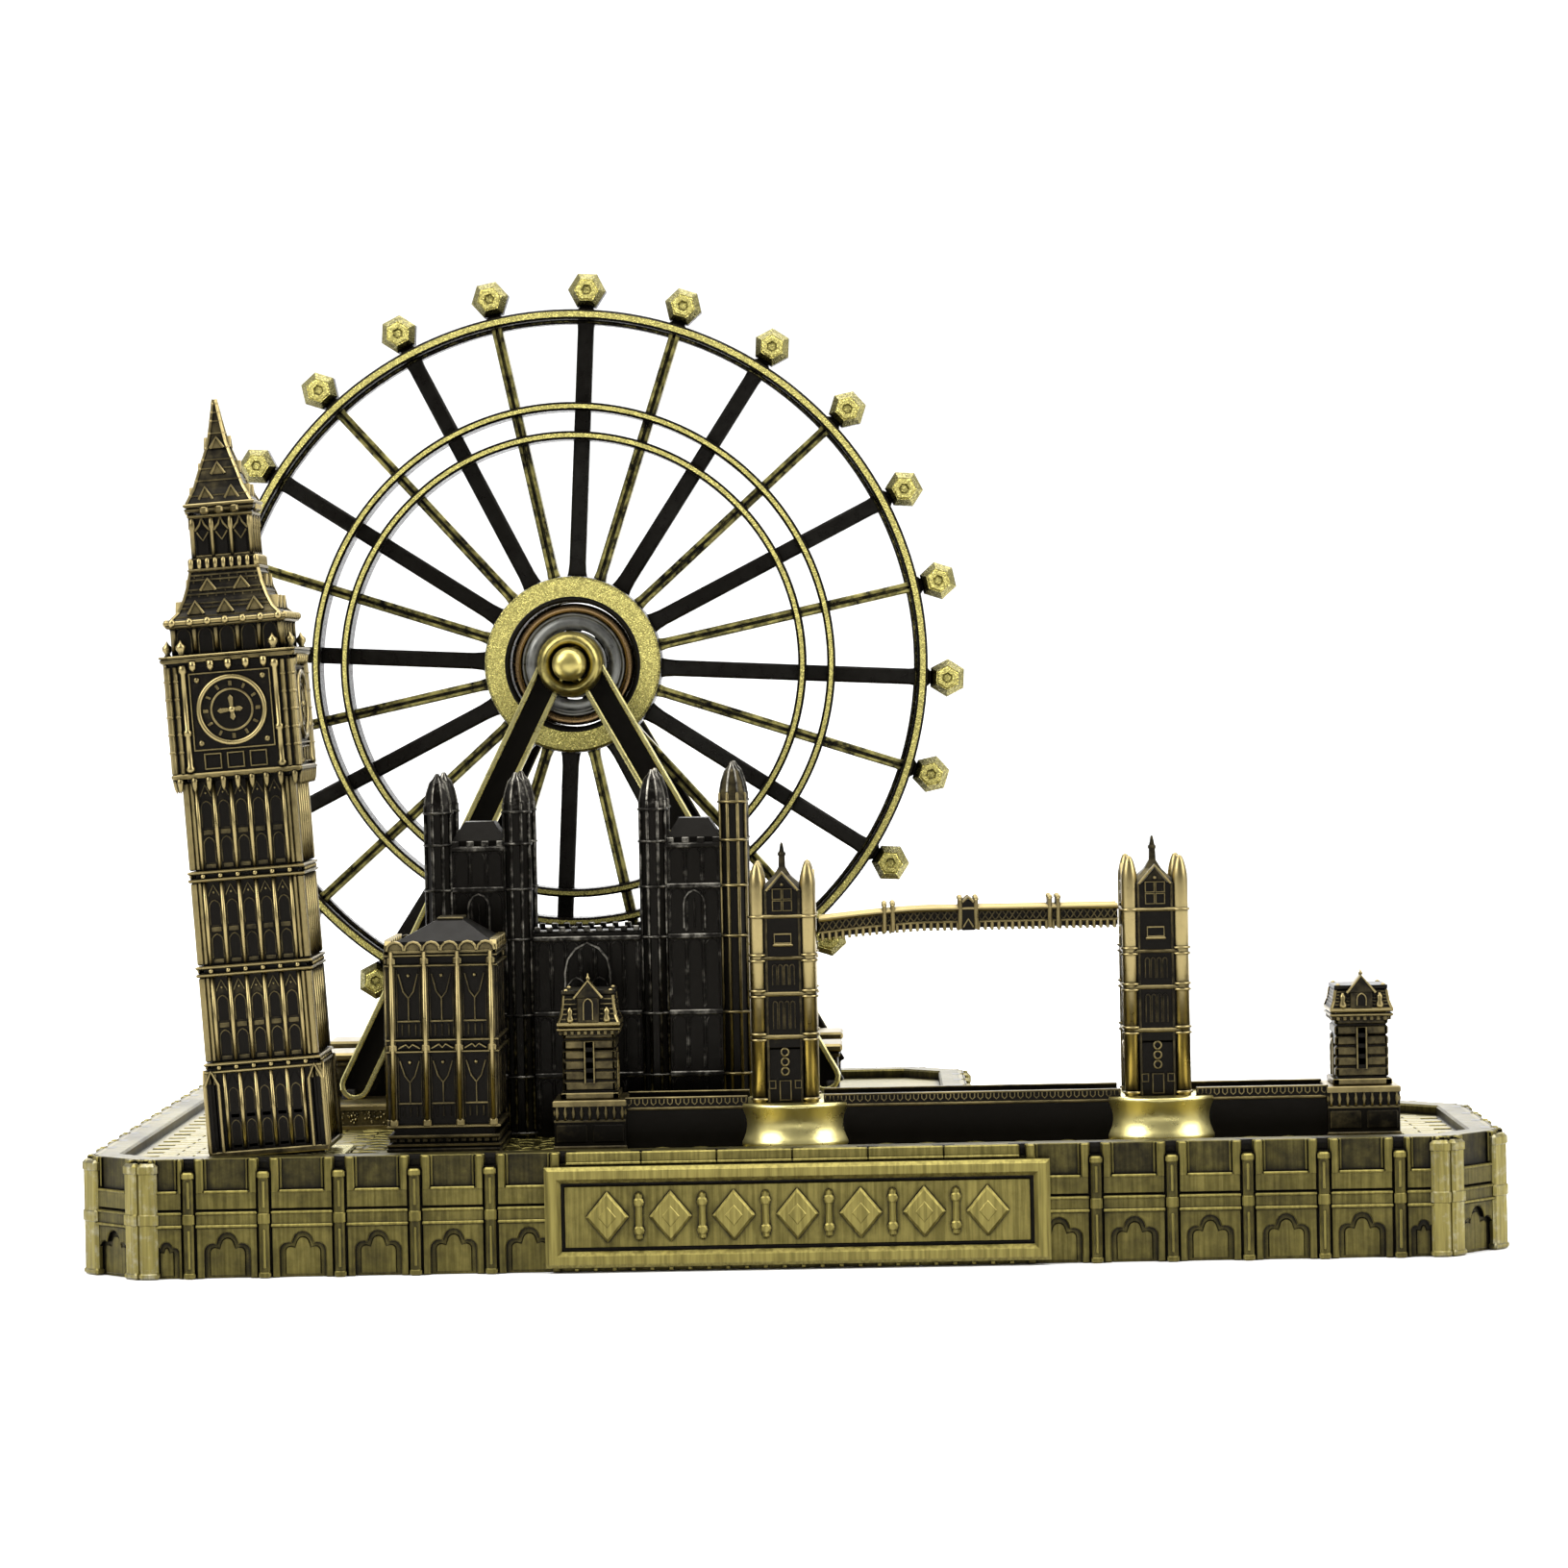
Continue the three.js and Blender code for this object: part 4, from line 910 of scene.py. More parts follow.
def turned_part(profile, shine, sides, name, coat, node, ring=True):
    """A piece turned about the axle, put on the body that its frame node rides on."""
    c = Casting()
    c.spun(*AXIS, profile, shine, sides, ring=ring)
    return mount(c, name, coat, frame_body(node), [node])


def build_bearing():
    """Rings, shields and balls of the miniature bearing in the hub."""
    steel = [finish("BearingSteel")]
    half = (RING_HI.y - RING_LO.y) / 2
    groove = [(GROOVE_R * math.sin(a), GROOVE_R * math.cos(a)) for a in (0.65, 1.0, 1.57, 2.14, 2.49)]
    outer = [(7.85, half), (6.95, half), (6.9, half - 0.05), (6.9, half - 0.7), (6.2, half - 0.7),
             *[(BALL_ORBIT + depth, y) for depth, y in groove],
             (6.2, 0.7 - half), (6.9, 0.7 - half), (6.9, 0.05 - half), (6.95, -half), (7.85, -half),
             (8.0, 0.15 - half), (8.0, half - 0.15)]
    inner = [(2.55, -half), (4.35, -half), (4.4, 0.05 - half),
             *[(BALL_ORBIT - depth, y) for depth, y in reversed(groove)],
             (4.4, half - 0.05), (4.35, half), (2.55, half), (2.5, half - 0.05), (2.5, 0.05 - half)]
    bronze = [finish("BearingBronze")]
    turned_part(outer, 1.0, 96, "outer_race", bronze, "bearing_outer_ring")
    turned_part(inner, 1.0, 96, "inner_race", steel, "bearing_inner_ring")
    for side, node in ((-1, "bearing_front_shield"), (1, "bearing_rear_shield")):
        a, b = side * 2.02, side * 2.4
        disc = [(4.6, a), (4.6, b - side * 0.12), (4.75, b), (6.0, b), (6.12, b - side * 0.16),
                (6.3, b - side * 0.16), (6.42, b), (6.66, b), (6.8, b - side * 0.12), (6.8, a)]
        turned_part(disc, 1.0, 96, node + "_disc", steel, node)
    steps, balls = 14, 7
    sweep = [math.pi * k / steps for k in range(steps + 1)]
    ball = [(BALL_R * math.sin(a), -BALL_R * math.cos(a)) for a in sweep]
    for i in range(balls):
        node = f"bearing_ball_{i + 1}"
        angle = TAU * i / balls
        x, z = AXIS.x + BALL_ORBIT * math.sin(angle), AXIS.z + BALL_ORBIT * math.cos(angle)
        c = Casting()
        c.spun(x, AXIS.y, z, ball, 1.0, 20)
        mount(c, f"steel_ball_{i + 1}", steel, frame_body(node), [node])


def frame_body(node):
    """The body that a frame node rides on."""
    for body, nodes in frame["record"]["behaviour"]["bodies"].items():
        if node in nodes:
            return body
    raise RuntimeError(f"no body holds {node}")


def wheel_spoke(c, angle, thick):
    """A radial spoke: broad and flat, or thin with a groove down its middle."""
    outer = c.place.copy()
    c.place = outer @ Matrix.Translation(AXIS) @ Matrix.Rotation(angle, 4, "Y")
    r0, r1 = SPOKE_FROM, SPOKE_TO
    if thick:
        h, d, e = 1.05, 1.1, 0.28
        rings = []
        for r, grow in ((r0, 1.3), (r0 + 0.8, 1.12), (r0 + 2.0, 1.02), (r1 - 1.6, 1.0), (r1, 1.15)):
            w = h * grow
            rings.append([(-w, e - d, r), (e - w, -d, r), (w - e, -d, r), (w, e - d, r),
                          (w, d - e, r), (w - e, d, r), (e - w, d, r), (-w, d - e, r)])
        # Paint 1 is the near-black finish: on these broad flat spokes it is a painted dark reflection.
        c.loft(rings, 0.6, 1)
    else:
        h, d, g = 0.675, 1.6, 0.22
        rings = []
        for r, grow in ((r0, 1.3), (r0 + 1.2, 1.05), (r1 - 1.2, 1.0), (r1, 1.2)):
            w = h * grow
            rings.append([(-w, -d + 0.2, r), (-w + 0.16, -d, r), (-g, -d, r), (-g * 0.5, -d + 0.5, r),
                          (g * 0.5, -d + 0.5, r), (g, -d, r), (w - 0.16, -d, r), (w, -d + 0.2, r),
                          (w, d - 0.2, r), (w - 0.16, d, r), (g, d, r), (g * 0.5, d - 0.5, r),
                          (-g * 0.5, d - 0.5, r), (-g, d, r), (-w + 0.16, d, r), (-w, d - 0.2, r)])
        c.loft(rings, 0.75, 2)
    c.place = outer


def wheel_capsule(c, angle):
    """A six-sided passenger capsule with faceted ends on a square stub."""
    outer = c.place.copy()
    turned = outer @ Matrix.Translation(AXIS) @ Matrix.Rotation(angle, 4, "Y")
    c.place = turned @ Matrix.Translation((0, 0, CAPSULE_AT))
    rear = [(2.5, 1.15), (2.4, 1.3), (1.62, 2.4), (1.5, 2.35), (1.3, 2.5), (0.75, 2.52), (0.5, 2.2)]
    front = [(r, -y) for r, y in reversed(rear)]
    corners = [TAU * (i + 0.5) / 6 for i in range(6)]
    rings = [[(r * math.sin(a), y, r * math.cos(a)) for a in corners] for r, y in front + rear]
    c.loft(rings, 0.95, 3)
    c.box(-0.85, 0.85, -0.85, 0.85, -3.6, -1.6, 0.3, 0.15, 1)
    c.box(-1.15, 1.15, -1.5, 1.5, -3.1, -2.3, 0.4, 0.25, 1)
    c.place = outer


def bevelled_band(r0, r1, half, bevel):
    """A ring's cross-section with bevelled corners: [(radius, y)]."""
    return [(r0, bevel - half), (r0 + bevel, -half), (r1 - bevel, -half), (r1, bevel - half),
            (r1, half - bevel), (r1 - bevel, half), (r0 + bevel, half), (r0, half - bevel)]


def build_wheel(shape):
    """Rim, two inner rings, hub, spokes thick and thin in turn, and a capsule at each."""
    c = Casting()
    c.spun(*AXIS, bevelled_band(45.2, 46.5, 3.2, 0.3), 0.9, 240, smooth=False, ring=True)
    c.spun(*AXIS, bevelled_band(44.7, 45.3, 1.2, 0.2), 0.3, 240, smooth=False, ring=True)
    for r in (34.4, 30.6):
        c.spun(*AXIS, bevelled_band(r - 1.1, r, 2.8, 0.3), 0.9, 192, smooth=False, ring=True)
    hub = [(8.3, -3.6), (8.5, -3.9), (8.8, -4.0), (11.2, -4.0), (11.5, -3.8), (11.6, -3.4)]
    hub += [(r, -y) for r, y in reversed(hub)]
    c.spun(*AXIS, hub, 1.0, 128, smooth=False, ring=True)
    lip = [(8.3, -3.4), (8.18, -3.5), (8.18, -3.95), (8.7, -4.06), (8.95, -3.98)]
    lip += [(r, -y) for r, y in reversed(lip)]
    c.spun(*AXIS, lip, 0.0, 96, paint=1, ring=True)
    for i in range(SPOKES):
        angle = shape.first_spoke + TAU * i / SPOKES
        wheel_spoke(c, angle, i % 2 == 0)
        wheel_capsule(c, angle)
    coats = [finish("WheelBrass"), finish("BlackAndPaintedReflection"), finish("FleckedSpoke"), finish("CapsuleBrass")]
    return mount(c, "observation_wheel_casting", coats, "wheel", ["observation_wheel"])


# ------------------------------------------------------------- shared dressing


def faces_of(c, x, y, w, d, draw):
    """Calls draw(side, half width, distance) for a block's front, right, rear and left."""
    outer = c.place.copy()
    for side in range(4):
        across, deep = (w, d) if side % 2 == 0 else (d, w)
        c.place = outer @ Matrix.Translation((x, y, 0)) @ Matrix.Rotation(side * TAU / 4, 4, "Z")
        draw(side, across / 2, deep / 2)
    c.place = outer


def rectangle(x, y, w, d):
    """A block's plan, counter-clockwise."""
    return [(x - w / 2, y - d / 2), (x + w / 2, y - d / 2), (x + w / 2, y + d / 2), (x - w / 2, y + d / 2)]


def corners_of(x, y, w, d):
    """The middles of four corner details whose places lie w and d apart."""
    return [(x + sx * w / 2, y + sy * d / 2) for sx in BOTH for sy in BOTH]


def string_course(c, x, y, w, d, z, out, shine=0.9, height=0.5):
    """A rounded band round a rectangular block, standing out from its faces."""
    h = height / 2
    profile = [(0.6, z - h), (-out * 0.4, z - h), (-out, z - h * 0.3), (-out, z + h * 0.5),
               (-out * 0.5, z + h), (0.6, z + h)]
    c.moulding(rectangle(x, y, w, d), profile, shine)


def tall_window(c, x, z0, z1, w, y, depth, shine, bar):
    """A pointed window's raised frame and its mullion."""
    spring = z1 - 0.62 * w
    arch = pointed_arch(x, w / 2, spring, 3)
    c.bar([(x - w / 2, z0), *arch, (x + w / 2, z0)], bar, y, y + depth, shine)
    c.box(x - 0.07, x + 0.07, y + 0.1, y + depth, z0, spring + 0.2 * w, shine * 0.7, 0.03)


def dark_window(c, x, z0, z1, w, y, shine=0.55):
    """A black pointed opening in a thin worn frame."""
    arch = pointed_arch(x, w / 2, z1 - 0.6 * w, 3)
    c.slab(closed_window(arch, z0), y + 0.12, y + 0.5, 0.0, 0.03)
    c.bar([(x - w / 2, z0), *arch, (x + w / 2, z0)], 0.15, y, y + 0.5, shine)


def finial(c, x, y, z, h, shine, r):
    """A little turned knop with a point."""
    c.turned(x, y, [(r * 0.9, z), (r * 0.5, z + 0.18 * h), (r, z + 0.42 * h), (r * 0.4, z + 0.62 * h),
                    (0.03, z + h)], shine, 8)


def battlements(c, half, y, z, count, shine, tall, thick=0.7):
    """A row of merlons along one side, with a coping line under them."""
    step = 2 * half / (2 * count - 1)
    c.box(-half, half, y, y + thick, z, z + 0.35 * tall, shine * 0.8, 0.05)
    for i in range(count):
        x = -half + 2 * i * step
        c.box(x, x + step, y, y + thick, z, z + tall, shine, 0.08)


# ------------------------------------------------------------- the clock tower

FOOT_LO, FOOT_HI = mm_box("clock_tower_foot")

# Heights above the tower's own foot.
STOREY_BANDS = (10.65, 22.15, 33.4)
CLOCK_FOOT, CLOCK_TOP, DIAL_Z = 45.3, 59.6, 52.85
EAVES, ROOF_TOP, LANTERN_TOP, SPIRE_TIP = 63.5, 69.6, 76.0, 89.9
SHAFT_HALF, BASE_HALF, CLOCK_HALF, BELFRY_HALF = 6.6, 7.1, 7.6, 6.4


def tower_storey(c, half, z0, z1, edge=1.45):
    """One storey of a side: thin ribs, two rows of black windows and a band of tracery."""
    bays = 5
    pitch = 2 * (half - edge) / bays
    wall = -half + 0.55
    tall = z1 - z0
    c.box(edge - half, half - edge, wall - 0.12, wall + 0.2, z0, z1, 0.42, 0.03)
    for i in range(bays + 1):
        x = -half + edge + i * pitch
        c.turned(x, -half + 0.14, [(0.25, z0), (0.25, z1)], 1.0, 8)
        c.box(x - 0.3, x + 0.3, -half + 0.2, wall + 0.1, z0, z1, 0.45, 0.08)
    for i in range(bays):
        x = -half + edge + (i + 0.5) * pitch
        w = pitch - 0.72
        dark_window(c, x, z0 + 0.08 * tall, z0 + 0.36 * tall, w, wall - 0.32)
        dark_window(c, x, z0 + 0.48 * tall, z0 + 0.77 * tall, w, wall - 0.32)
        for low, high in ((0.01, 0.06), (0.39, 0.45)):
            c.box(x - w / 2, x + w / 2, wall - 0.3, wall + 0.1, z0 + low * tall, z0 + high * tall, 0.6, 0.08)
        c.bar([(x - w / 2, z1 - 0.17 * tall), (x, z1 - 0.04 * tall), (x + w / 2, z1 - 0.17 * tall)], 0.16,
              wall - 0.3, wall + 0.1, 0.65)
        c.ball(x, wall - 0.12, z1 - 0.13 * tall, 0.17, 0.8, 6)
    for sign in BOTH:
        for outer, inner in ((half + 0.12, half - 0.6), (half - 0.7, half - 1.16)):
            lo, hi = sorted((sign * outer, sign * inner))
            c.box(lo, hi, -half - 0.1, wall + 0.1, z0, z1, 0.98, 0.16)


def tower_base_side(c, half):
    """The lowest storey, darker, with a tall gabled frame at each corner."""
    tower_storey(c, half - 0.35, 0.9, STOREY_BANDS[0] - 0.35, 2.1)
    c.box(-half, half, -half - 0.05, -half + 0.8, 0.0, 0.7, 0.7, 0.12)
    for sign in BOTH:
        x = sign * (half - 0.95)
        frame_line = [(x - 0.78, 0.6), (x - 0.78, 8.6), (x, 10.3), (x + 0.78, 8.6), (x + 0.78, 0.6)]
        c.bar(frame_line, 0.34, -half - 0.12, -half + 0.7, 1.0)
        c.box(x - 0.95, x + 0.95, -half + 0.25, -half + 0.9, 0.5, 8.8, 0.2, 0.1)


def clock_side(c, half, z0, z1):
    """A side of the clock stage: dial, colonnettes, openings and corbels."""
    wall, back, reach = -half + 0.5, -half + 0.7, 4.75
    low, high = DIAL_Z - 4.55, DIAL_Z + 4.5
    c.box(0.05 - reach, reach - 0.05, wall - 0.18, back, low, high, 0.3, 0.1)
    frame_line = [(-reach, low), (reach, low), (reach, high), (-reach, high)]
    c.bar(frame_line, 0.3, wall - 0.42, back, 0.85, True)
    draw_dial(c, -half, DIAL_Z)
    for sx in BOTH:
        for sz in BOTH:
            c.ball(sx * 3.9, wall - 0.1, DIAL_Z + sz * 3.75, 0.42, 0.65, 8)
        colonnette = [(0.5, z0 + 0.5), (0.6, z0 + 0.9), (0.4, z0 + 1.2), (0.36, 50.0), (0.55, 50.2),
                      (0.55, 50.6), (0.36, 50.8), (0.36, 57.4), (0.58, 57.7), (0.6, 58.4)]
        knop = [(0.5, z1), (0.3, z1 + 0.3), (0.6, z1 + 0.8), (0.6, z1 + 1.15), (0.25, z1 + 1.5),
                (0.04, z1 + 1.9)]
        c.turned(sx * 5.45, -half + 0.28, colonnette, 0.85, 10)
        c.turned(sx * 5.45, -half + 0.28, knop, 1.0, 10)
        for a, b in ((6.1, 6.6), (7.0, 7.6)):
            lo, hi = sorted((sx * a, sx * b))
            c.box(lo, hi, -half - 0.1, back, z0 + 0.3, z1 - 1.2, 0.9, 0.15)
            for i in range(5):
                z = z0 + 2.7 + 2.1 * i
                c.box(lo - 0.05, hi + 0.05, -half - 0.18, wall, z, z + 0.4, 0.95, 0.12)
    panel_z = z0 + 1.6
    for x in (-2.7, 0.0, 2.7):
        panel = rectangle(x, panel_z, 1.8, 1.6)
        c.slab(panel, wall - 0.1, wall + 0.1, 0.0)
        c.bar(rectangle(x, panel_z + 0.025, 1.9, 1.75), 0.28, wall - 0.4, back, 0.75, True)
    c.box(-7.7, 7.7, -half - 0.18, back, z0 - 0.25, z0 + 0.35, 0.9, 0.18)
    corbel = [(0.05, z0 - 1.9), (0.26, z0 - 1.4), (0.36, z0 - 0.8), (0.45, z0 - 0.2)]
    for i in range(9):
        c.turned((i - 4) * 1.7, -half + 0.25, corbel, 0.75, 8)
    c.box(-half - 0.35, half + 0.35, -half - 0.4, back, z1 - 0.85, z1 - 0.2, 0.75, 0.2)
    c.box(-half - 0.5, half + 0.5, -half - 0.5, back, z1 - 0.25, z1, 1.0, 0.08)
    for i in range(5):
        drop = [(0.1, z1 - 2.0), (0.42, z1 - 1.6), (0.5, z1 - 0.8)]
        c.turned((i - 2) * 2.1, -half - 0.1, drop, 1.0, 8)
    c.box(-4.9, 4.9, wall - 0.3, back, z1 - 1.6, z1 - 0.9, 0.1, 0.05)


def draw_dial(c, front, z):
    """A dark clock face: bright rim, inner ring, twelve plain marks and crossed hands."""
    place = (0, front, z)
    c.spun(*place, [(0.01, 0.35), (3.9, 0.35), (3.9, 1.0), (0.01, 1.0)], 0.32, 48)
    rim = [(3.62, 0.6), (3.62, 0.0), (3.75, -0.18), (4.05, -0.18), (4.2, 0.0), (4.2, 0.6)]
    c.spun(*place, rim, 1.0, 56, ring=True)
    inner = [(2.3, 0.6), (2.3, 0.16), (2.38, 0.1), (2.5, 0.1), (2.58, 0.16), (2.58, 0.6)]
    c.spun(*place, inner, 0.7, 48, ring=True)
    outer = c.place.copy()
    for i in range(12):
        c.place = outer @ Matrix.Translation(place) @ Matrix.Rotation(TAU * i / 12, 4, "Y")
        wide = 0.3 if i % 3 else 0.42
        c.box(-wide / 2, wide / 2, 0.1, 0.6, 2.8, 3.45, 0.75, 0.05)
    for angle, length in ((-3, 1.75), (87, 1.3), (177, 1.3), (267, 1.75)):
        c.place = outer @ Matrix.Translation(place) @ Matrix.Rotation(math.radians(angle), 4, "Y")
        hand = [(-0.14, 0.0), (0.14, 0.0), (0.3, length - 0.35), (0.0, length), (-0.3, length - 0.35)]
        c.slab(hand, 0.0, 0.5, 0.95, 0.05)
    c.place = outer
    c.spun(*place, [(0.01, -0.2), (0.3, -0.15), (0.42, 0.05), (0.42, 0.5), (0.01, 0.5)], 1.0, 16)


def belfry_side(c, half, z0, z1):
    """A row of black openings between slim shafts, under the eaves."""
    wall = -half + 0.5
    pitch = 2 * half / 5
    for i in range(6):
        x = -half + i * pitch
        c.turned(x, -half + 0.1, [(0.28, z0), (0.28, z1 - 0.6), (0.42, z1)], 0.62, 8)
    for i in range(5):
        x = -half + (i + 0.5) * pitch
        dark_window(c, x, z0 + 0.2, z1 - 0.3, pitch - 0.85, wall - 0.3, 0.6)


def hip_roof(c, levels, shine, rows=True):
    """A concave square roof through (half width, z) levels, with ribs along its hips."""
    c.loft([[(px, py, z) for px, py in rectangle(0, 0, 2 * h, 2 * h)] for h, z in levels], shine)
    for (h0, z0), (h1, z1) in zip(levels, levels[1:]):
        for sx, sy in corners_of(0, 0, 2, 2):
            hip_rib(c, (sx * h0, sy * h0, z0), (sx * h1, sy * h1, z1), 0.2)
        if rows:
            roof_rows(c, h0, z0, h1, z1)


def roof_rows(c, h0, z0, h1, z1):
    """Rows of tiles up one slope of a square roof."""
    steps = max(1, int((z1 - z0) / 0.75))
    for k in range(1, steps + 1):
        t = k / (steps + 1)
        h, z = h0 + (h1 - h0) * t, z0 + (z1 - z0) * t
        lap = [(0.25, z - 0.1), (-0.15, z - 0.12), (-0.1, z + 0.06), (0.25, z + 0.12)]
        c.moulding(rectangle(0, 0, 2 * h, 2 * h), lap, 0.58)
        count = max(2, int(2 * h))

        def joints(side, h=h, z=z, count=count):
            for i in range(count):
                x = -h + (i + 0.5) * 2 * h / count
                c.box(x - 0.09, x + 0.09, -h - 0.13, -h + 0.2, z - 0.45, z + 0.02, 0.7, 0.04)

        c.four_sides(joints)


def hip_rib(c, a, b, r):
    """A slim round rib between two points."""
    a, b = Vector(a), Vector(b)
    along = (b - a).normalized()
    side = along.cross(Vector((0, 0, 1)))
    side = side.normalized() if side.length > 1e-6 else Vector((1, 0, 0))
    up = side.cross(along)
    rings = []
    for p in (a, b):
        rings.append([p + (side * math.cos(TAU * i / 6) + up * math.sin(TAU * i / 6)) * r for i in range(6)])
    c.loft(rings, 1.0)


def crocketed_spire(c, levels):
    """A slender concave spire through (half width, z) levels, with crockets up its hips."""
    hip_roof(c, levels, 0.4, rows=False)
    for (h0, z0), (h1, z1) in zip(levels, levels[1:]):
        steps = max(1, int(z1 - z0))
        for k in range(steps):
            t = (k + 0.5) / steps
            h, z = h0 + (h1 - h0) * t, z0 + (z1 - z0) * t
            for px, py in corners_of(0, 0, 2 * h, 2 * h):
                c.ball(px, py, z, 0.24, 0.9, 6)
            lap = [(0.2, z - 0.1), (-0.1, z - 0.08), (-0.06, z + 0.1), (0.2, z + 0.1)]
            c.moulding(rectangle(0, 0, 2 * h, 2 * h), lap, 0.58)


def gablet_row(c, z, h, w, xs, front, depth):
    """Small gables across each slope of a square roof."""
    c.four_sides(lambda side: [c.gablet(x, z, w, h, -front, -front + depth, 1.0) for x in xs])


def build_clock_tower(shape):
    """Shaft, clock stage, belfry, roof, lantern and spire, cast as one leaning piece."""
    c = Casting()
    origin = Matrix.Translation((shape.tower_x / MM, shape.tower_y / MM, FOOT_HI.z + 0.48))
    c.place = origin @ Matrix.Rotation(shape.tower_lean, 4, "Y")
    cores = ((13.0, -0.3, STOREY_BANDS[0], 0.05), (12.1, STOREY_BANDS[0] - 0.4, CLOCK_FOOT + 0.4, 0.05),
             (14.2, CLOCK_FOOT, CLOCK_TOP - 0.2, 0.2), (11.8, CLOCK_TOP - 0.4, EAVES - 0.1, 0.03))
    for width, low, high, shine in cores:
        c.block(0, 0, width, width, low, high, shine, 0.02)
    c.four_sides(lambda side: tower_base_side(c, BASE_HALF))
    for z0, z1 in zip(STOREY_BANDS, (*STOREY_BANDS[1:], CLOCK_FOOT)):
        c.four_sides(lambda side, z0=z0, z1=z1: tower_storey(c, SHAFT_HALF, z0 + 0.75, z1 - 0.7))
    for z in STOREY_BANDS:
        for dz in (-0.48, 0.42):
            string_course(c, 0, 0, 13.3, 13.3, z + dz, 0.3, 0.95, 0.4)
        c.four_sides(lambda side, z=z: [c.ball(-5.15 + i * 2.06, -SHAFT_HALF - 0.1, z, 0.33, 1.0, 6)
                                        for i in range(6)])
    c.four_sides(lambda side: clock_side(c, CLOCK_HALF, CLOCK_FOOT, CLOCK_TOP))
    c.four_sides(lambda side: belfry_side(c, BELFRY_HALF, CLOCK_TOP, EAVES - 0.4))
    string_course(c, 0, 0, 13.6, 13.6, EAVES - 0.45, 0.3, 0.75, 0.4)
    string_course(c, 0, 0, 14.0, 14.0, EAVES, 0.2, 1.0, 0.45)
    c.four_sides(lambda side: [c.ball((i - 3) * 2.1, -7.0, EAVES, 0.5, 1.0, 8) for i in range(7)])
    hip_roof(c, [(6.7, EAVES + 0.1), (5.6, EAVES + 1.2), (4.9, EAVES + 2.7), (4.35, EAVES + 4.4),
                 (4.0, ROOF_TOP)], 0.4)
    gablet_row(c, EAVES + 0.9, 1.5, 1.8, (-3.5, 0, 3.5), 6.0, 1.5)
    gablet_row(c, EAVES + 3.6, 1.4, 1.8, (-2.0, 2.0), 4.75, 1.5)
    string_course(c, 0, 0, 8.2, 8.2, ROOF_TOP, 0.2, 0.8, 0.35)
    string_course(c, 0, 0, 7.6, 7.6, ROOF_TOP + 1.3, 0.15, 0.5, 0.25)
    c.block(0, 0, 7.3, 7.3, ROOF_TOP - 0.4, ROOF_TOP + 1.3, 0.1)
    baluster = [(0.3, ROOF_TOP - 0.2), (0.3, ROOF_TOP + 1.2), (0.1, ROOF_TOP + 1.45)]
    c.four_sides(lambda side: [c.turned(-3.85 + i * 0.96, -3.95, baluster, 1.0, 8) for i in range(9)])
    c.block(0, 0, 6.4, 6.4, ROOF_TOP + 1.0, LANTERN_TOP, 0.05)
    c.four_sides(lambda side: lantern_side(c, 3.7, ROOF_TOP + 1.35, LANTERN_TOP))
    for dz, width, shine in ((0.0, 7.3, 0.95), (0.75, 7.8, 0.7), (1.3, 8.0, 1.0)):
        string_course(c, 0, 0, width, width, LANTERN_TOP + dz, 0.25, shine, 0.42)
    c.four_sides(lambda side: [c.block(x, -3.95, 1.0, 0.8, LANTERN_TOP + 0.2, LANTERN_TOP + 1.2, 1.0, 0.25)
                               for x in (-1.8, 0.0, 1.8)])
    crocketed_spire(c, [(3.85, LANTERN_TOP + 1.5), (2.9, 79.3), (2.3, 81.1), (1.55, 83.2), (1.0, 84.9),
                        (0.65, 86.8), (0.12, SPIRE_TIP)])
    gablet_row(c, 77.9, 1.5, 1.6, (-1.55, 1.55), 3.5, 1.2)
    gablet_row(c, 80.9, 1.4, 1.6, (0,), 2.45, 1.2)
    gablet_row(c, 84.0, 1.3, 1.6, (0,), 1.5, 1.2)
    return mount(c, "clock_tower_casting", [finish("RibBrass")], "stand", ["clock_tower"])


def lantern_side(c, half, z0, z1):
    """Three black openings under ogee heads, between slim shafts."""
    pitch = 2 * (half - 0.3) / 3
    for i in range(4):
        x = -half + 0.3 + i * pitch
        c.turned(x, -half + 0.15, [(0.26, z0), (0.24, z1 - 1.6), (0.36, z1 - 1.4), (0.3, z1)], 0.75, 8)
    for i in range(3):
        x = -half + 0.3 + (i + 0.5) * pitch
        opening = closed_window(pointed_arch(x, 0.62, z1 - 2.3, 3), z0 + 0.3)
        c.slab(opening, -half + 0.3, -half + 0.7, 0.0, 0.03)
        ogee = [(x - pitch / 2 + 0.25, z1 - 1.7), (x - 0.3, z1 - 1.0), (x, z1 - 0.2), (x + 0.3, z1 - 1.0),
                (x + pitch / 2 - 0.25, z1 - 1.7)]
        c.bar(ogee, 0.26, -half + 0.02, -half + 0.6, 1.0)
        c.bar([(x - 0.7, z1 - 1.9), (x, z1 - 2.9), (x + 0.7, z1 - 1.9)], 0.2, -half + 0.1, -half + 0.6, 0.8)
    c.box(-half, half, -half - 0.02, -half + 0.5, z0, z0 + 0.4, 0.7, 0.08)


def build_tower_foot():
    """The polished slab that the clock tower stands on."""
    c = Casting()
    middle, size = (FOOT_LO + FOOT_HI) / 2, FOOT_HI - FOOT_LO
    outline = rectangle(middle.x, middle.y, size.x, size.y)
    low = FOOT_LO.z
    c.plate(outline, low, FOOT_HI.z, 0.9, 0.22)
    c.moulding(outline, [(0.0, low), (0.0, low + 0.3), (0.5, low + 0.35), (0.5, low)], 0.8)
    return mount(c, "clock_tower_slab", [finish("WornEdge")], "stand", ["clock_tower_foot"])


# ------------------------------------------------------------------ the palace


PALACE_FLOOR_BAND = 25.2                    # foot of the band between the two storeys
PALACE_TOP = 37.2


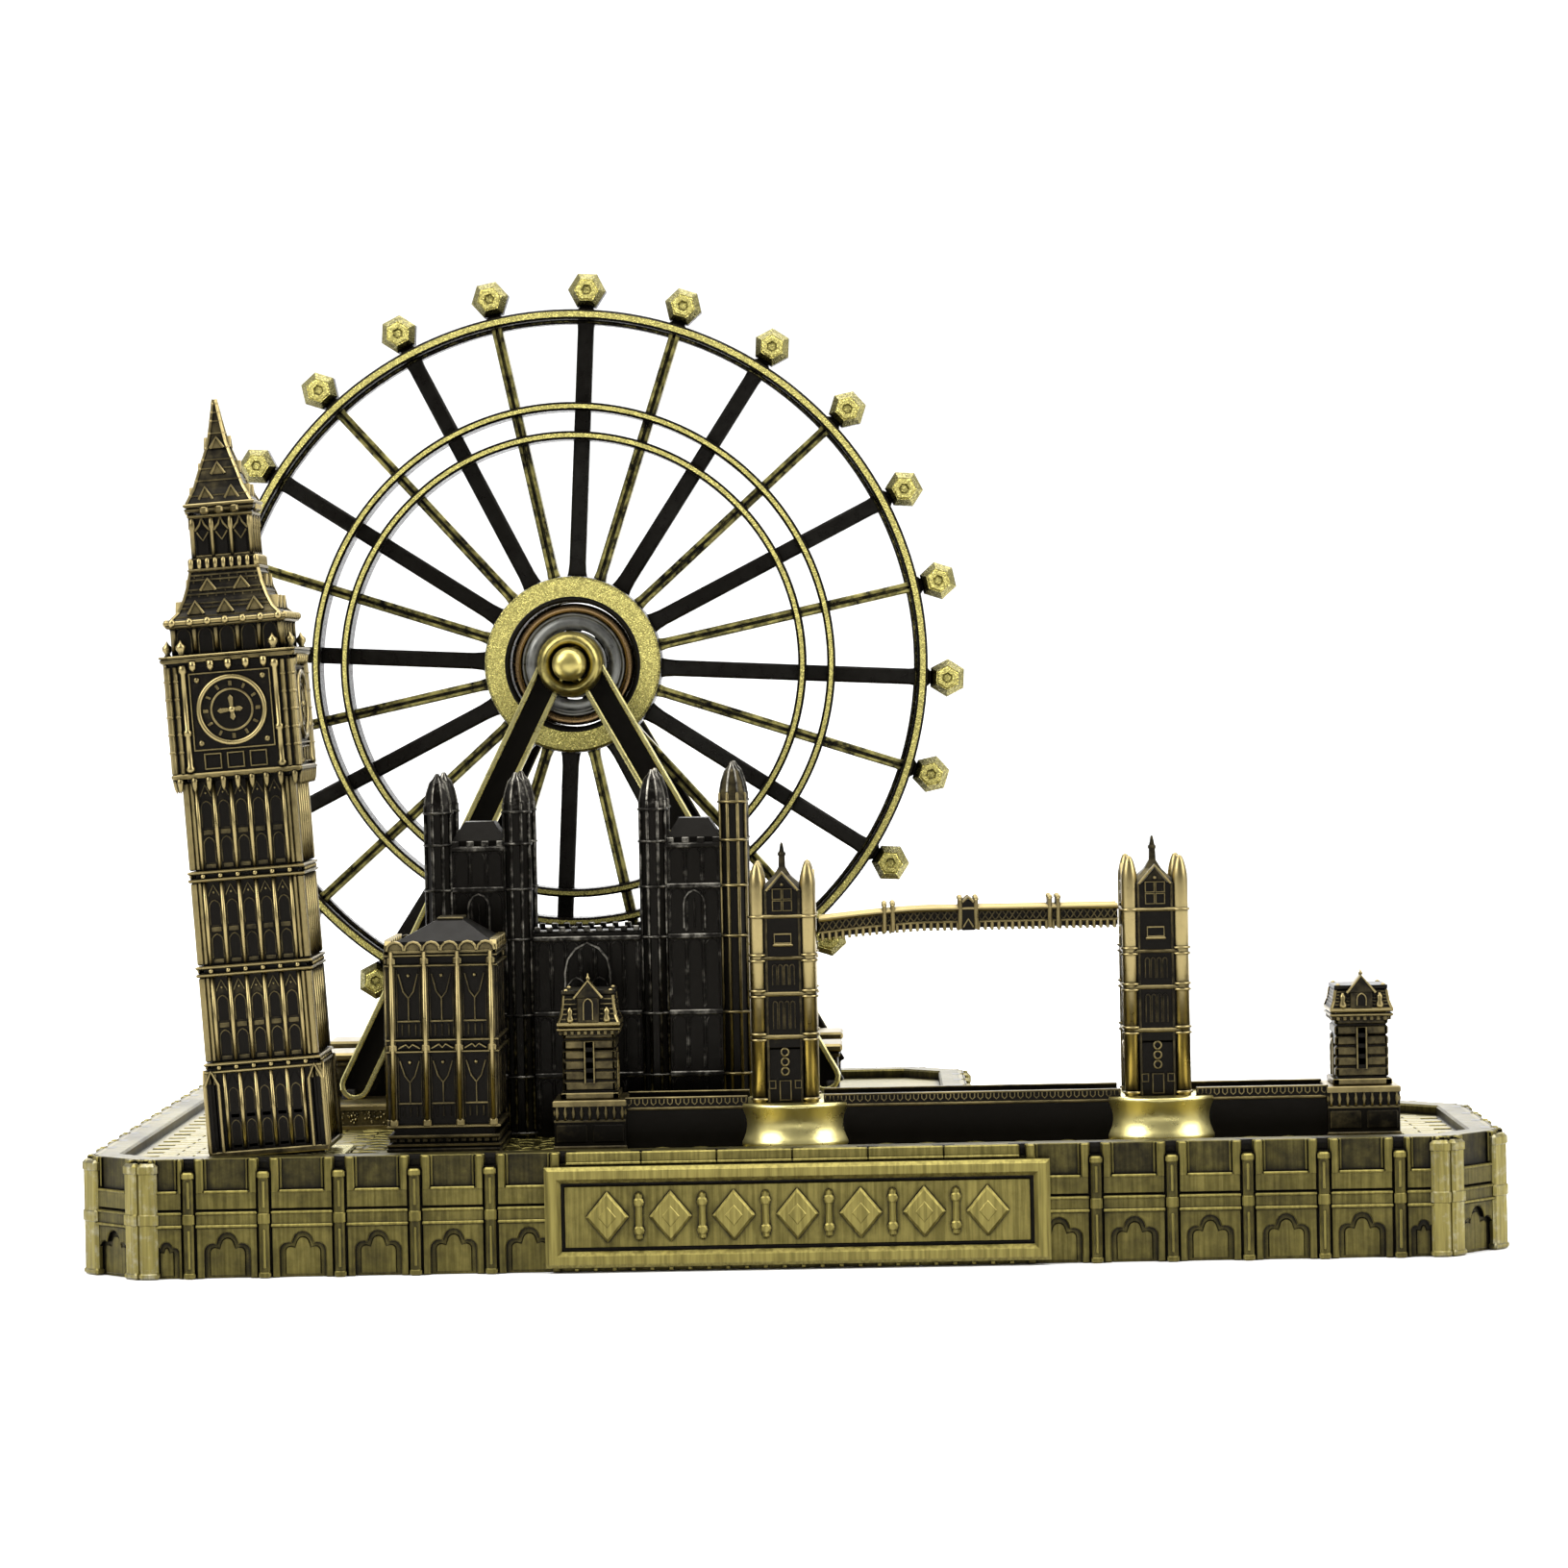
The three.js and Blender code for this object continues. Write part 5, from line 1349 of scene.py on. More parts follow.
def palace_front(c, half, dist, z0):
    """Three dark bays of two storeys between four slender bright pilasters."""
    wall, top, band = -dist + 0.5, PALACE_TOP, PALACE_FLOOR_BAND
    pitch = (2 * half - 1.1) / 3
    for i in range(4):
        x = -half + 0.55 + i * pitch
        c.box(x - 0.42, x + 0.42, -dist - 0.2, wall + 0.2, z0 + 3.9, top, 0.5, 0.12)
        c.turned(x, -dist - 0.14, [(0.3, z0 + 4.2), (0.3, top)], 0.88, 10)
        for z in (z0 + 3.4, band, top - 1.6):
            c.box(x - 0.5, x + 0.5, -dist - 0.4, wall, z, z + 0.9, 0.85, 0.15)
    for i in range(3):
        x = -half + 0.55 + (i + 0.5) * pitch
        for a, b in ((z0 + 4.4, band - 0.6), (band + 1.7, top - 2.2)):
            y_tracery(c, x, a, b, pitch - 1.2, -dist + 0.1)
        swag = [(x - 1.3, band + 0.4), (x - 0.4, band + 0.9), (x, band + 0.5), (x + 0.4, band + 0.9),
                (x + 1.3, band + 0.4)]
        c.bar(swag, 0.2, -dist - 0.12, wall, 0.75)


def y_tracery(c, x, z0, z1, w, y):
    """A tall opening whose thin mullion forks under the head, over a panelled foot."""
    fork = z1 - 0.42 * (z1 - z0)
    low = z0 + 0.24 * (z1 - z0)
    c.bar([(x, low), (x, fork)], 0.17, y, y + 0.5, 0.55)
    for sign in BOTH:
        branch = [(x, fork), (x + sign * 0.22 * w, fork + 0.8), (x + sign * 0.42 * w, z1 - 0.5)]
        c.bar(branch, 0.17, y, y + 0.5, 0.55)
        c.bar([(x + sign * w / 2, z0), (x + sign * w / 2, z1)], 0.16, y + 0.12, y + 0.5, 0.45)
    c.bar([(x - w / 2, low), (x + w / 2, low)], 0.22, y, y + 0.5, 0.6)
    for k in (-1, 0, 1):
        c.box(x + k * 0.3 * w - 0.1, x + k * 0.3 * w + 0.1, y + 0.1, y + 0.5, z0 + 0.2, low - 0.3, 0.45, 0.05)
    c.ball(x, y + 0.2, z1 - 0.7, 0.24, 0.7, 6)


def plain_side(c, half, dist, z0):
    """A quiet dark side with flat, sunk panels."""
    for i in range(5):
        x = -half + 0.9 + i * (2 * half - 1.8) / 4
        c.box(x - 0.4, x + 0.4, -dist + 0.05, -dist + 0.6, z0 + 4.2, 35.2, 0.4, 0.15)


def build_palace():
    """A three-bay block with a scalloped parapet and a low hipped roof."""
    c = Casting()
    lo, hi = mm_box("palace_block")
    x, y = (lo.x + hi.x) / 2 - 1.1, (lo.y + hi.y) / 2
    w, d, z0 = 13.0, 15.0, lo.z
    top, band = PALACE_TOP, PALACE_FLOOR_BAND
    c.block(x, y, w - 1.0, d - 1.0, z0, top + 0.4, 0.05, 0.02)
    c.block(x, y, w + 0.7, d + 0.7, z0, z0 + 0.9, 0.4, 0.2)
    for dz, out, shine in ((1.15, 0.35, 0.6), (2.2, 0.15, 0.5), (3.4, 0.3, 0.7)):
        string_course(c, x, y, w, d, z0 + dz, out, shine, 0.4)
    for z in (band, band + 1.4, top - 1.7, top - 0.5):
        string_course(c, x, y, w, d, z, 0.28, 0.72, 0.3)

    def draw(side, half, dist):
        if side == 1:
            plain_side(c, half, dist, z0)
        else:
            palace_front(c, half, dist, z0)
        for i in range(6):
            px = -half + (i + 0.5) * half / 3
            scallop = round_arch(px, half / 6 - 0.05, top + 0.1, 6)
            c.slab(closed_window(scallop, top - 0.1), -dist - 0.05, -dist + 0.6, 0.62, 0.08)
            c.bar(scallop, 0.3, -dist - 0.25, -dist + 0.6, 0.9)
        for i in range(14):
            px = -half + 0.5 + i * (2 * half - 1.0) / 13
            c.box(px - 0.3, px + 0.3, -dist - 0.05, -dist + 0.5, z0 + 1.5, z0 + 2.0, 0.55, 0.1)
        c.box(-half - 0.2, half + 0.2, -dist - 0.2, -dist + 0.6, top - 0.3, top + 0.15, 0.8, 0.12)

    faces_of(c, x, y, w, d, draw)
    slope = []
    for dx, wide, deep, z in ((0.3, 11.8, 12.8, top + 0.1), (0.3, 11.4, 12.2, top + 1.1),
                              (0.8, 2.8, 4.8, top + 3.6)):
        slope.append([(px, py, z) for px, py in rectangle(x + dx, y, wide, deep)])
    c.loft(slope, 0.15)
    c.block(x + 0.8, y, 3.2, 5.2, top + 3.45, top + 3.8, 0.5, 0.12)
    return mount(c, "palace_casting", [finish("RibBrass")], "stand", ["palace_block"])


# ------------------------------------------------------------------- the abbey


# Heights of the string bands on the abbey's towers.
ABBEY_BANDS = (20.4, 28.0, 37.4, 43.6)
ABBEY_TOP = 49.4


def fluted_turret(c, x, y, z0, top, tip, shine, paint=0):
    """An octagonal turret with ribbed angles, rings and a bullet-shaped ribbed cap."""
    c.turned(x, y, [(1.6, z0), (1.6, top)], 0.05, 8, TAU / 16, False, paint=paint)
    for i in range(8):
        a = TAU * i / 8 + TAU / 16
        px, py = x + 1.62 * math.cos(a), y + 1.62 * math.sin(a)
        c.turned(px, py, [(0.24, z0), (0.24, top - 0.3), (0.1, top)], shine, 6, paint=paint)
    for z in (z0 + 0.6, *ABBEY_BANDS, ABBEY_TOP - 0.2, top - 1.2):
        collar = [(1.55, z - 0.22), (1.9, z - 0.14), (1.92, z + 0.08), (1.55, z + 0.2)]
        c.turned(x, y, collar, shine, 16, paint=paint)
    cap = [(1.7, top - 1.0), (1.65, top), (1.4, top + 1.2), (0.95, top + 2.5), (0.45, tip - 0.6), (0.1, tip)]
    c.turned(x, y, cap, shine * 0.7, 8, TAU / 16, False, paint=paint)
    for i in range(8):
        a = TAU * i / 8 + TAU / 16
        points = [(x + r * math.cos(a), y + r * math.sin(a), z) for r, z in cap[1:]]
        for p, q in zip(points, points[1:]):
            hip_rib(c, p, q, 0.13)


def abbey_wall(c, half, dist, z0, z1, ribs, shine=0.7):
    """Fine vertical ribs with pointed heads between string bands."""
    wall = -dist + 0.45
    step = 2 * half / ribs
    for i in range(ribs + 1):
        x = -half + i * step
        c.box(x - 0.13, x + 0.13, -dist + 0.1, wall + 0.2, z0, z1, shine, 0.05)
    for i in range(ribs):
        x = -half + (i + 0.5) * step
        w = step - 0.4
        c.bar([(x - w / 2, z0 + 0.2), *pointed_arch(x, w / 2, z1 - 0.9, 3), (x + w / 2, z0 + 0.2)], 0.13,
              -dist + 0.15, wall + 0.2, shine * 0.8)


def abbey_tower(c, x0, x1, y, d, z0, brassy):
    """A tower with four turrets; on the brassy one, the front right turret is worn bright."""
    mid, w, top = (x0 + x1) / 2, x1 - x0, ABBEY_TOP
    c.block(mid, y, w - 3.3, d - 3.3, z0, top - 0.6, 0.04, 0.02)

    def draw(side, half, dist):
        for a, b in ((z0 + 1.2, 19.9), (20.9, 27.5), (28.6, 36.9), (38.0, 43.1), (44.1, 48.2)):
            abbey_wall(c, half, dist, a, b, 5)
        for z in (z0 + 0.6, *ABBEY_BANDS, top - 0.8):
            c.box(-half, half, -dist - 0.15, -dist + 0.7, z - 0.32, z + 0.32, 0.85, 0.12)
        tall_window(c, 0, 38.4, 43.0, 2.6, -dist - 0.1, 0.7, 0.9, 0.26)
        battlements(c, half, -dist - 0.1, top - 0.8, 6, 0.85, 1.0)

    faces_of(c, mid, y, w - 3.4, d - 2.6, draw)
    rings = []
    for share, z in ((0.5, top - 0.8), (0.48, top + 0.2), (0.27, top + 2.5)):
        rings.append([(px, py, z) for px, py in rectangle(mid, y, w * share, d * share * 1.2)])
    c.loft(rings, 0.3)
    for px, py in corners_of(mid, y, w - 3.9, d - 3.9):
        brass = brassy and px > mid and py < y
        tip = 58.7 if brassy and px > mid else 57.95
        fluted_turret(c, px, py, z0, tip - 3.6, tip, 0.7 if brass else 0.8, 1 if brass else 0)


def build_abbey():
    """Two turreted towers with a ribbed nave front and a low roof between them."""
    c = Casting()
    lo, hi = mm_box("abbey")
    y, d, z0 = (lo.y + hi.y) / 2, hi.y - lo.y, lo.z
    towers = ((lo.x, lo.x + 13.6), (hi.x - 13.8, hi.x))
    for i, (x0, x1) in enumerate(towers):
        abbey_tower(c, x0, x1, y, d, z0, i == 1)
    x0, x1 = towers[0][1] - 1.6, towers[1][0] + 1.6
    front, rear = y - d / 2 + 1.9, y + d / 2 - 1.3
    c.box(x0, x1, front + 0.5, rear - 0.5, z0, 38.0, 0.04, 0.02)
    mid, w = (x0 + x1) / 2, x1 - x0

    def draw(side, half, dist):
        if side % 2:
            return
        for a, b in ((z0 + 1.0, 19.9), (20.9, 27.5), (28.5, 36.9)):
            abbey_wall(c, half, dist, a, b, 9)
        for z in (20.4, 28.0, 37.3):
            c.box(-half, half, -dist - 0.2, -dist + 0.7, z - 0.3, z + 0.3, 0.85, 0.12)
        tall_window(c, 0, 21.0, 36.6, 5.6, -dist - 0.05, 0.7, 0.9, 0.34)
        for k in BOTH:
            tall_window(c, k * 1.4, 21.2, 32.4, 2.3, -dist + 0.05, 0.6, 0.8, 0.2)
        battlements(c, half, -dist - 0.1, 38.0, 11, 0.85, 0.8)

    faces_of(c, mid, (front + rear) / 2, w, rear - front, draw)
    ridge = (front + rear) / 2
    roof = [[(x0, front + 0.6, 37.4), (x0, ridge, 38.2), (x0, rear - 0.6, 37.4), (x0, ridge, 36.5)],
            [(x1, front + 0.6, 37.4), (x1, ridge, 38.2), (x1, rear - 0.6, 37.4), (x1, ridge, 36.5)]]
    c.loft(roof, 0.2)
    coats = [finish("BlackBronze"), finish("RibBrass")]
    return mount(c, "abbey_casting", coats, "stand", ["abbey"])


# ------------------------------------------------------------------ the bridge

DECK_LO, DECK_HI = mm_box("bridge_deck")
BRIDGE_Y = (DECK_LO.y + DECK_HI.y) / 2
DECK_TOP = 17.8
TOWER_BANDS = (25.95, 31.1, 35.4, 40.4)     # heights of the main towers' bands
TOWER_EAVES = 43.6
WALKWAY_FOOT = 38.2


def bridge_pier(c, x, z0):
    """A softly waisted cutwater pier of polished brass, with a flat cap."""
    profile = [(0.01, z0), (7.2, z0), (7.4, z0 + 0.2), (7.4, z0 + 0.6), (7.2, z0 + 1.1), (7.0, z0 + 1.7),
               (6.9, z0 + 2.4), (6.9, z0 + 3.0), (7.0, z0 + 3.6), (7.2, z0 + 4.2), (7.38, z0 + 4.7),
               (7.45, z0 + 4.9), (7.42, z0 + 5.1), (7.3, z0 + 5.2), (0.01, z0 + 5.2)]
    c.turned(x, BRIDGE_Y, profile, 1.0, 64, stretch=1.1, paint=1)


def deck_abutment(c, x, z0, top):
    """The dark end block under an end tower, with a small arcade along its top."""
    wide, deep = 8.8, 10.4
    c.box(x - wide / 2 + 0.1, x + wide / 2 - 0.1, BRIDGE_Y - 4.9, BRIDGE_Y + 4.9, z0, top - 0.5, 0.3, 0.1)
    outline = rectangle(x, BRIDGE_Y, wide, deep)
    for low, high, t, shine in ((z0, z0 + 0.5, 0.0, 0.5), (16.2, 16.5, 0.1, 0.55), (18.1, 18.8, 0.0, 0.66)):
        c.plate(inset(outline, t), low, high, shine, 0.12)

    def draw(side, half, dist):
        count = int(2 * half / 0.95)
        for i in range(count):
            px = -half + (i + 0.5) * 2 * half / count
            baluster = [(0.2, 16.5), (0.13, 16.8), (0.3, 17.3), (0.13, 17.9), (0.22, 18.15)]
            c.turned(px, -dist + 0.22, baluster, 0.65, 6)
        for px in (-0.5 * half, 0.5 * half):
            c.box(px - 0.42 * half, px + 0.42 * half, -dist + 0.1, -dist + 0.5, z0 + 0.9, 15.9, 0.42, 0.2)

    faces_of(c, x, BRIDGE_Y, wide, deep, draw)


def build_bridge_deck():
    """Deck between dark parapets with small teeth, its abutments and two cutwater piers."""
    c = Casting()
    z0, deck, top = DECK_LO.z, DECK_TOP, DECK_HI.z
    x0, x1 = DECK_LO.x + 1.2, DECK_HI.x - 1.2
    half = 4.5
    teeth = 0.95
    c.box(x0, x1, BRIDGE_Y - half + 0.35, BRIDGE_Y + half - 0.35, z0, deck, 0.2, 0.1)
    for x in (0.2, 44.1):
        bridge_pier(c, x, z0)
    for x in (-0.85, 43.8):
        c.box(x - 4.6, x + 4.6, BRIDGE_Y - half, BRIDGE_Y + half, deck - 0.3, 18.0, 0.5, 0.08)
    for x in (-24.4, 68.3):
        deck_abutment(c, x, z0, top)
    for side in BOTH:
        outer = BRIDGE_Y + side * half
        lo, hi = sorted((outer, outer - side * 0.7))
        near, far = sorted((outer, outer - side * 0.25))
        for a, b in ((-20.2, -5.4), (3.7, 39.3), (48.3, 64.1)):
            c.box(a, b, lo + 0.1, hi - 0.1, deck - 0.35, top - 0.1, 0.2, 0.08)
            c.box(a, b, lo, hi, deck - 0.35, deck, 0.72, 0.12)
            c.box(a, b, lo, hi, top - 0.25, top, 0.62, 0.08)
            count = int((b - a) / teeth)
            for i in range(count):
                x = a + (i + 0.5) * (b - a) / count
                tooth = [(x - 0.28, top - 0.2), (x - 0.28, top - 0.7), (x, top - 0.95),
                         (x + 0.28, top - 0.7), (x + 0.28, top - 0.2)]
                c.bar(tooth, 0.14, near, far, 0.72)
    coats = [finish("RibBrass"), finish("PierBrass")]
    return mount(c, "bridge_deck_casting", coats, "stand", ["bridge_deck"])


def bridge_turret(c, x, y, z0):
    """A slender smooth corner turret with double rings and a bullet-shaped tip."""
    top = TOWER_EAVES + 0.3
    c.turned(x, y, [(0.98, z0), (0.98, top), (0.93, top + 0.7), (0.78, top + 1.5), (0.56, top + 2.3),
                    (0.34, top + 2.8), (0.05, top + 3.0)], 0.92, 20)
    for z in (z0 + 0.4, 25.6, 26.3, 30.8, 31.5, 35.1, 35.8, 40.4):
        c.turned(x, y, [(0.9, z - 0.2), (1.18, z - 0.12), (1.2, z + 0.08), (0.9, z + 0.18)], 1.0, 16)


def outlined_square(c, x, z0, z1, w, y, back, shine=0.7):
    """A black opening in a thin square frame."""
    outline = rectangle(x, (z0 + z1) / 2, w, z1 - z0)
    c.slab(outline, y + 0.2, back, 0.0, 0.03)
    c.bar(outline, 0.2, y, back, shine, True)


def bridge_tower_side(c, half, dist, z0, arch):
    """A dark side with a gable, stacked windows, a small balcony and a door or an arched road."""
    wall = -dist + 0.8
    if arch:
        spring = z0 + 4.4
        line = [(-1.8, spring), *round_arch(0, 1.8, spring), (1.8, spring)]
        c.bar(line, 0.45, wall - 0.45, wall + 0.3, 0.9)
    else:
        outlined_square(c, 0, z0 + 0.3, z0 + 2.6, 1.3, wall - 0.4, wall, 0.6)
        for k in BOTH:
            outlined_square(c, k * 1.55, z0 + 1.7, z0 + 2.6, 0.75, wall - 0.4, wall, 0.6)
        roundel = [(0.36, 0.2), (0.36, -0.2), (0.54, -0.2), (0.54, 0.2)]
        for k in range(3):
            c.spun(0, wall - 0.1, z0 + 3.7 + 1.15 * k, roundel, 0.65, 16, ring=True)
    c.box(-half + 1.3, half - 1.3, wall - 0.12, wall + 0.3, 24.6, TOWER_EAVES, 0.25, 0.1)
    for k in BOTH:
        c.box(k * 2.0 - 0.14, k * 2.0 + 0.14, wall - 0.35, wall + 0.2, z0, TOWER_EAVES, 0.5, 0.06)
    for k in (-1.05, -0.35, 0.35, 1.05):
        for a, b in ((26.9, 30.2), (32.2, 34.6)):
            dark_window(c, k, a, b, 0.5, wall - 0.42, 0.42)
    for z, (h, shine) in zip(TOWER_BANDS, ((0.5, 0.8), (0.5, 0.8), (0.4, 0.6), (0.4, 0.85))):
        c.box(-half + 1.4, half - 1.4, wall - 0.45, wall + 0.3, z - h / 2, z + h / 2, shine, 0.14)
    outlined_square(c, 0, 37.2, 38.3, 2.0, wall - 0.55, wall, 0.95)
    c.box(-1.2, 1.2, wall - 0.7, wall, 36.85, 37.1, 0.8, 0.08)
    for x in (-0.62, 0.62):
        for z in (41.1, 42.5):
            outlined_square(c, x, z, z + 1.2, 1.05, wall - 0.42, wall, 0.6)
    c.bar([(-1.9, 43.5), (0, 45.7), (1.9, 43.5)], 0.3, wall - 0.4, wall + 0.5, 0.95)
    c.slab([(-1.7, 43.3), (1.7, 43.3), (0, 45.4)], wall - 0.05, wall + 0.5, 0.35, 0.05)
    c.ball(0, wall - 0.15, 44.2, 0.24, 0.7, 6)


def build_bridge_tower(node):
    """A main tower: four turrets, a gable on each side, a dark spire and a road through it."""
    c = Casting()
    lo, hi = mm_box(node)
    x, y, z0 = (lo.x + hi.x) / 2, (lo.y + hi.y) / 2, lo.z
    w, d = 8.6, 10.0
    for sy in BOTH:
        edge = sorted((y + sy * 1.9, y + sy * (d / 2 - 0.9)))
        c.box(x - w / 2 + 0.9, x + w / 2 - 0.9, *edge, z0, 25.0, 0.05, 0.02)
    c.block(x, y, w - 1.8, d - 1.8, 24.4, TOWER_EAVES, 0.05, 0.02)

    def draw(side, half, dist):
        bridge_tower_side(c, half, dist, z0, side % 2 == 1)

    faces_of(c, x, y, w, d, draw)
    for px, py in corners_of(x, y, w - 2.56, d - 2.56):
        bridge_turret(c, px, py, z0)
    rings = []
    for h, z in ((2.9, 43.2), (2.2, 44.0), (1.0, 45.2), (0.42, 46.2), (0.36, hi.z - 1.4),
                 (0.2, hi.z - 0.5)):
        rings.append([(px, py, z) for px, py in rectangle(x, y, 2 * h, 2.3 * h)])
    c.loft(rings, 0.35)
    c.turned(x, y, [(0.3, hi.z - 1.8), (0.5, hi.z - 1.6), (0.5, hi.z - 1.3), (0.24, hi.z - 1.1),
                    (0.2, hi.z - 0.3), (0.05, hi.z - 0.02)], 0.4, 8)
    return mount(c, node + "_casting", [finish("RibBrass")], "stand", [node])


def sag(x, x0):
    """How much lower the footways hang near their left end x0: negative, or zero."""
    reach = 13.0
    return -max(0.0, 1 - (x - x0) / reach) ** 1.4


def build_walkway():
    """The high-level footways: round top rail, dark lattice, toothed foot and middle crest."""
    c = Casting()
    lo, hi = mm_box("bridge_walkway")
    x0, x1, y = lo.x, hi.x, (lo.y + hi.y) / 2
    mid = (x0 + x1) / 2
    cells = 44
    step = (x1 - x0) / cells
    stops = [x0 + i * step for i in range(cells + 1)]

    def rail(near, far, low, high, shine, e):
        section = [(near, low + e), (near + e, low), (far - e, low), (far, low + e), (far, high - e),
                   (far - e, high), (near + e, high), (near, high - e)]
        c.loft([[(x, py, z + sag(x, x0)) for py, z in section] for x in stops], shine)

    rail(y - 1.85, y + 1.85, 38.5, 40.9, 0.08, 0.1)
    foot, head = WALKWAY_FOOT, 41.9
    posts = ((11.4, 41.7), (12.4, 41.7), (31.3, 42.0), (32.3, 42.0), (mid - 0.95, 42.0), (mid + 0.95, 42.0))
    for side in BOTH:
        near, far = sorted((y + side * 1.75, y + side * 2.3))
        top_near, top_far = sorted((y + side * 1.65, y + side * 2.5))
        rail(top_near, top_far, 40.5, 41.18, 0.95, 0.25)
        rail(near, far, 39.05, 39.4, 0.7, 0.12)
        for i in range(cells):
            a, b = stops[i], stops[i + 1]
            lift = sag((a + b) / 2, x0)
            c.bar([(a, 39.35 + lift), (b, 40.55 + lift)], 0.15, near + 0.08, far - 0.1, 0.55)
            c.bar([(a, 40.55 + lift), (b, 39.35 + lift)], 0.15, near + 0.12, far - 0.08, 0.55)
            x, low = (a + b) / 2, foot + lift
            c.box(x - 0.2, x + 0.2, near - 0.06, far + 0.06, low, low + 1.0, 1.0, 0.1)
        for x, top in posts:
            lift = sag(x, x0)
            c.box(x - 0.25, x + 0.25, top_near - 0.06, top_far + 0.06, foot + 0.1 + lift, top + lift,
                  0.95, 0.14)
            c.ball(x, (top_near + top_far) / 2, top + lift, 0.36, 1.0, 8)
        a, b = sorted((y + side * 2.45, y + side * 1.5))
        c.box(mid - 0.8, mid + 0.8, a, b, foot, head, 0.3, 0.1)
        c.bar([(mid - 0.6, 38.6), (mid, 39.6), (mid + 0.6, 38.6)], 0.24, a - 0.1, b + 0.1, 0.8)
        c.bar([(mid - 0.7, 41.6), (mid, 42.2), (mid + 0.7, 41.6)], 0.3, a - 0.1, b + 0.1, 0.95)
    return mount(c, "bridge_walkway_casting", [finish("RibBrass")], "stand", ["bridge_walkway"])


def end_tower_side(c, half, dist, z0, road):
    """Rough courses of stone with a slit window or an arched road."""
    wall = -dist + 0.3
    for k in range(6):
        z = z0 + 1.0 + k * 1.25
        if road and z < z0 + 5.6:
            for sx in BOTH:
                lo, hi = sorted((sx * half, sx * 1.7))
                c.box(lo, hi, -dist, wall + 0.3, z, z + 1.1, 0.58, 0.2)
        else:
            c.box(-half, half, -dist, wall + 0.3, z, z + 1.1, 0.58, 0.2)
    if road:
        line = [(-1.5, z0 + 0.9), *round_arch(0, 1.5, z0 + 3.8), (1.5, z0 + 0.9)]
        c.bar(line, 0.35, -dist - 0.15, wall + 0.3, 0.8)
    else:
        outlined_square(c, 0, z0 + 1.9, z0 + 6.9, 1.1, -dist - 0.2, wall, 0.7)
    c.box(-half - 0.1, half + 0.1, -dist - 0.12, wall + 0.3, z0 + 7.9, z0 + 8.3, 0.75, 0.1)
    for i in range(8):
        x = -half + 0.4 + i * (2 * half - 0.8) / 7
        c.box(x - 0.2, x + 0.2, -dist - 0.4, wall + 0.3, 26.6, 27.1, 0.75, 0.06)


def build_end_tower(node):
    """A small gatehouse with a mansard roof; the right one's roof is cast lower."""
    c = Casting()
    lo, hi = mm_box(node)
    x, y, z0 = (lo.x + hi.x) / 2, BRIDGE_Y, lo.z
    w, d = 6.4, 7.0
    dip = 0.0 if x < 0 else 1.1
    for sy in BOTH:
        edge = sorted((y + sy * 1.6, y + sy * (d / 2 - 0.25)))
        c.box(x - w / 2 + 0.25, x + w / 2 - 0.25, *edge, z0, 25.0, 0.05, 0.02)
    c.block(x, y, w - 0.5, d - 0.5, 23.7, 28.0, 0.05, 0.02)

    def draw(side, half, dist):
        end_tower_side(c, half, dist, z0, side % 2 == 1)
        c.box(-half - 0.35, half + 0.35, -dist - 0.35, -dist + 0.5, z0, z0 + 0.75, 0.7, 0.12)

    faces_of(c, x, y, w, d, draw)
    string_course(c, x, y, w + 0.6, d + 0.6, 27.25, 0.3, 0.75, 0.4)
    string_course(c, x, y, w + 0.9, d + 0.9, 27.85, 0.15, 0.9, 0.5)
    eaves = rectangle(x, y, w + 0.8, d + 0.8)
    rings = []
    for t, z in ((0.0, 28.0), (0.35, 28.9), (0.55, 30.2), (0.62, 31.3 - dip), (0.4, 31.5 - dip),
                 (0.4, 31.9 - dip)):
        rings.append([(px, py, z) for px, py in inset(eaves, t)])
    c.loft(rings, 0.3)
    for a, b in zip(rings[:4], rings[1:4]):
        for p, q in zip(a, b):
            hip_rib(c, p, q, 0.2)
    for k in range(5):
        z = 28.5 + k * (0.6 - 0.2 * dip)
        lap = [(0.2, z - 0.08), (-0.06, z - 0.08), (-0.06, z + 0.06), (0.2, z + 0.1)]
        c.moulding(inset(eaves, 0.2 + 0.09 * k), lap, 0.6)
    front, gable = y - d / 2, 31.0 - dip
    c.box(x - 1.3, x + 1.3, front - 0.6, front + 1.2, 28.0, gable + 0.1, 0.45, 0.12)
    c.slab([(x - 1.6, gable), (x + 1.6, gable), (x, gable + 2.0)], front - 0.6, front + 1.5, 0.35, 0.1)
    verge = [(x - 1.7, gable), (x, gable + 2.1), (x + 1.7, gable)]
    c.bar(verge, 0.3, max(lo.y, front - 0.7), front + 1.5, 0.95)
    dark_window(c, x, 28.4, gable - 0.1, 1.1, front - 0.75, 0.8)
    finial(c, x, front + 0.2, gable + 1.9, min(1.1, hi.z - 32.92), 0.95, 0.32)
    pinnacle = [(0.45, 28.0), (0.55, 28.5), (0.3, 29.0), (0.42, 29.4), (0.15, 29.9)]
    for sx in BOTH:
        c.turned(x + sx * 2.2, front - 0.15, pinnacle, 0.9, 8)
    for px, py in corners_of(x, y, w - 1.0, d - 1.0):
        c.ball(px, py, gable + 0.7, 0.42, 0.95, 8)
    return mount(c, node + "_casting", [finish("RibBrass")], "stand", [node])


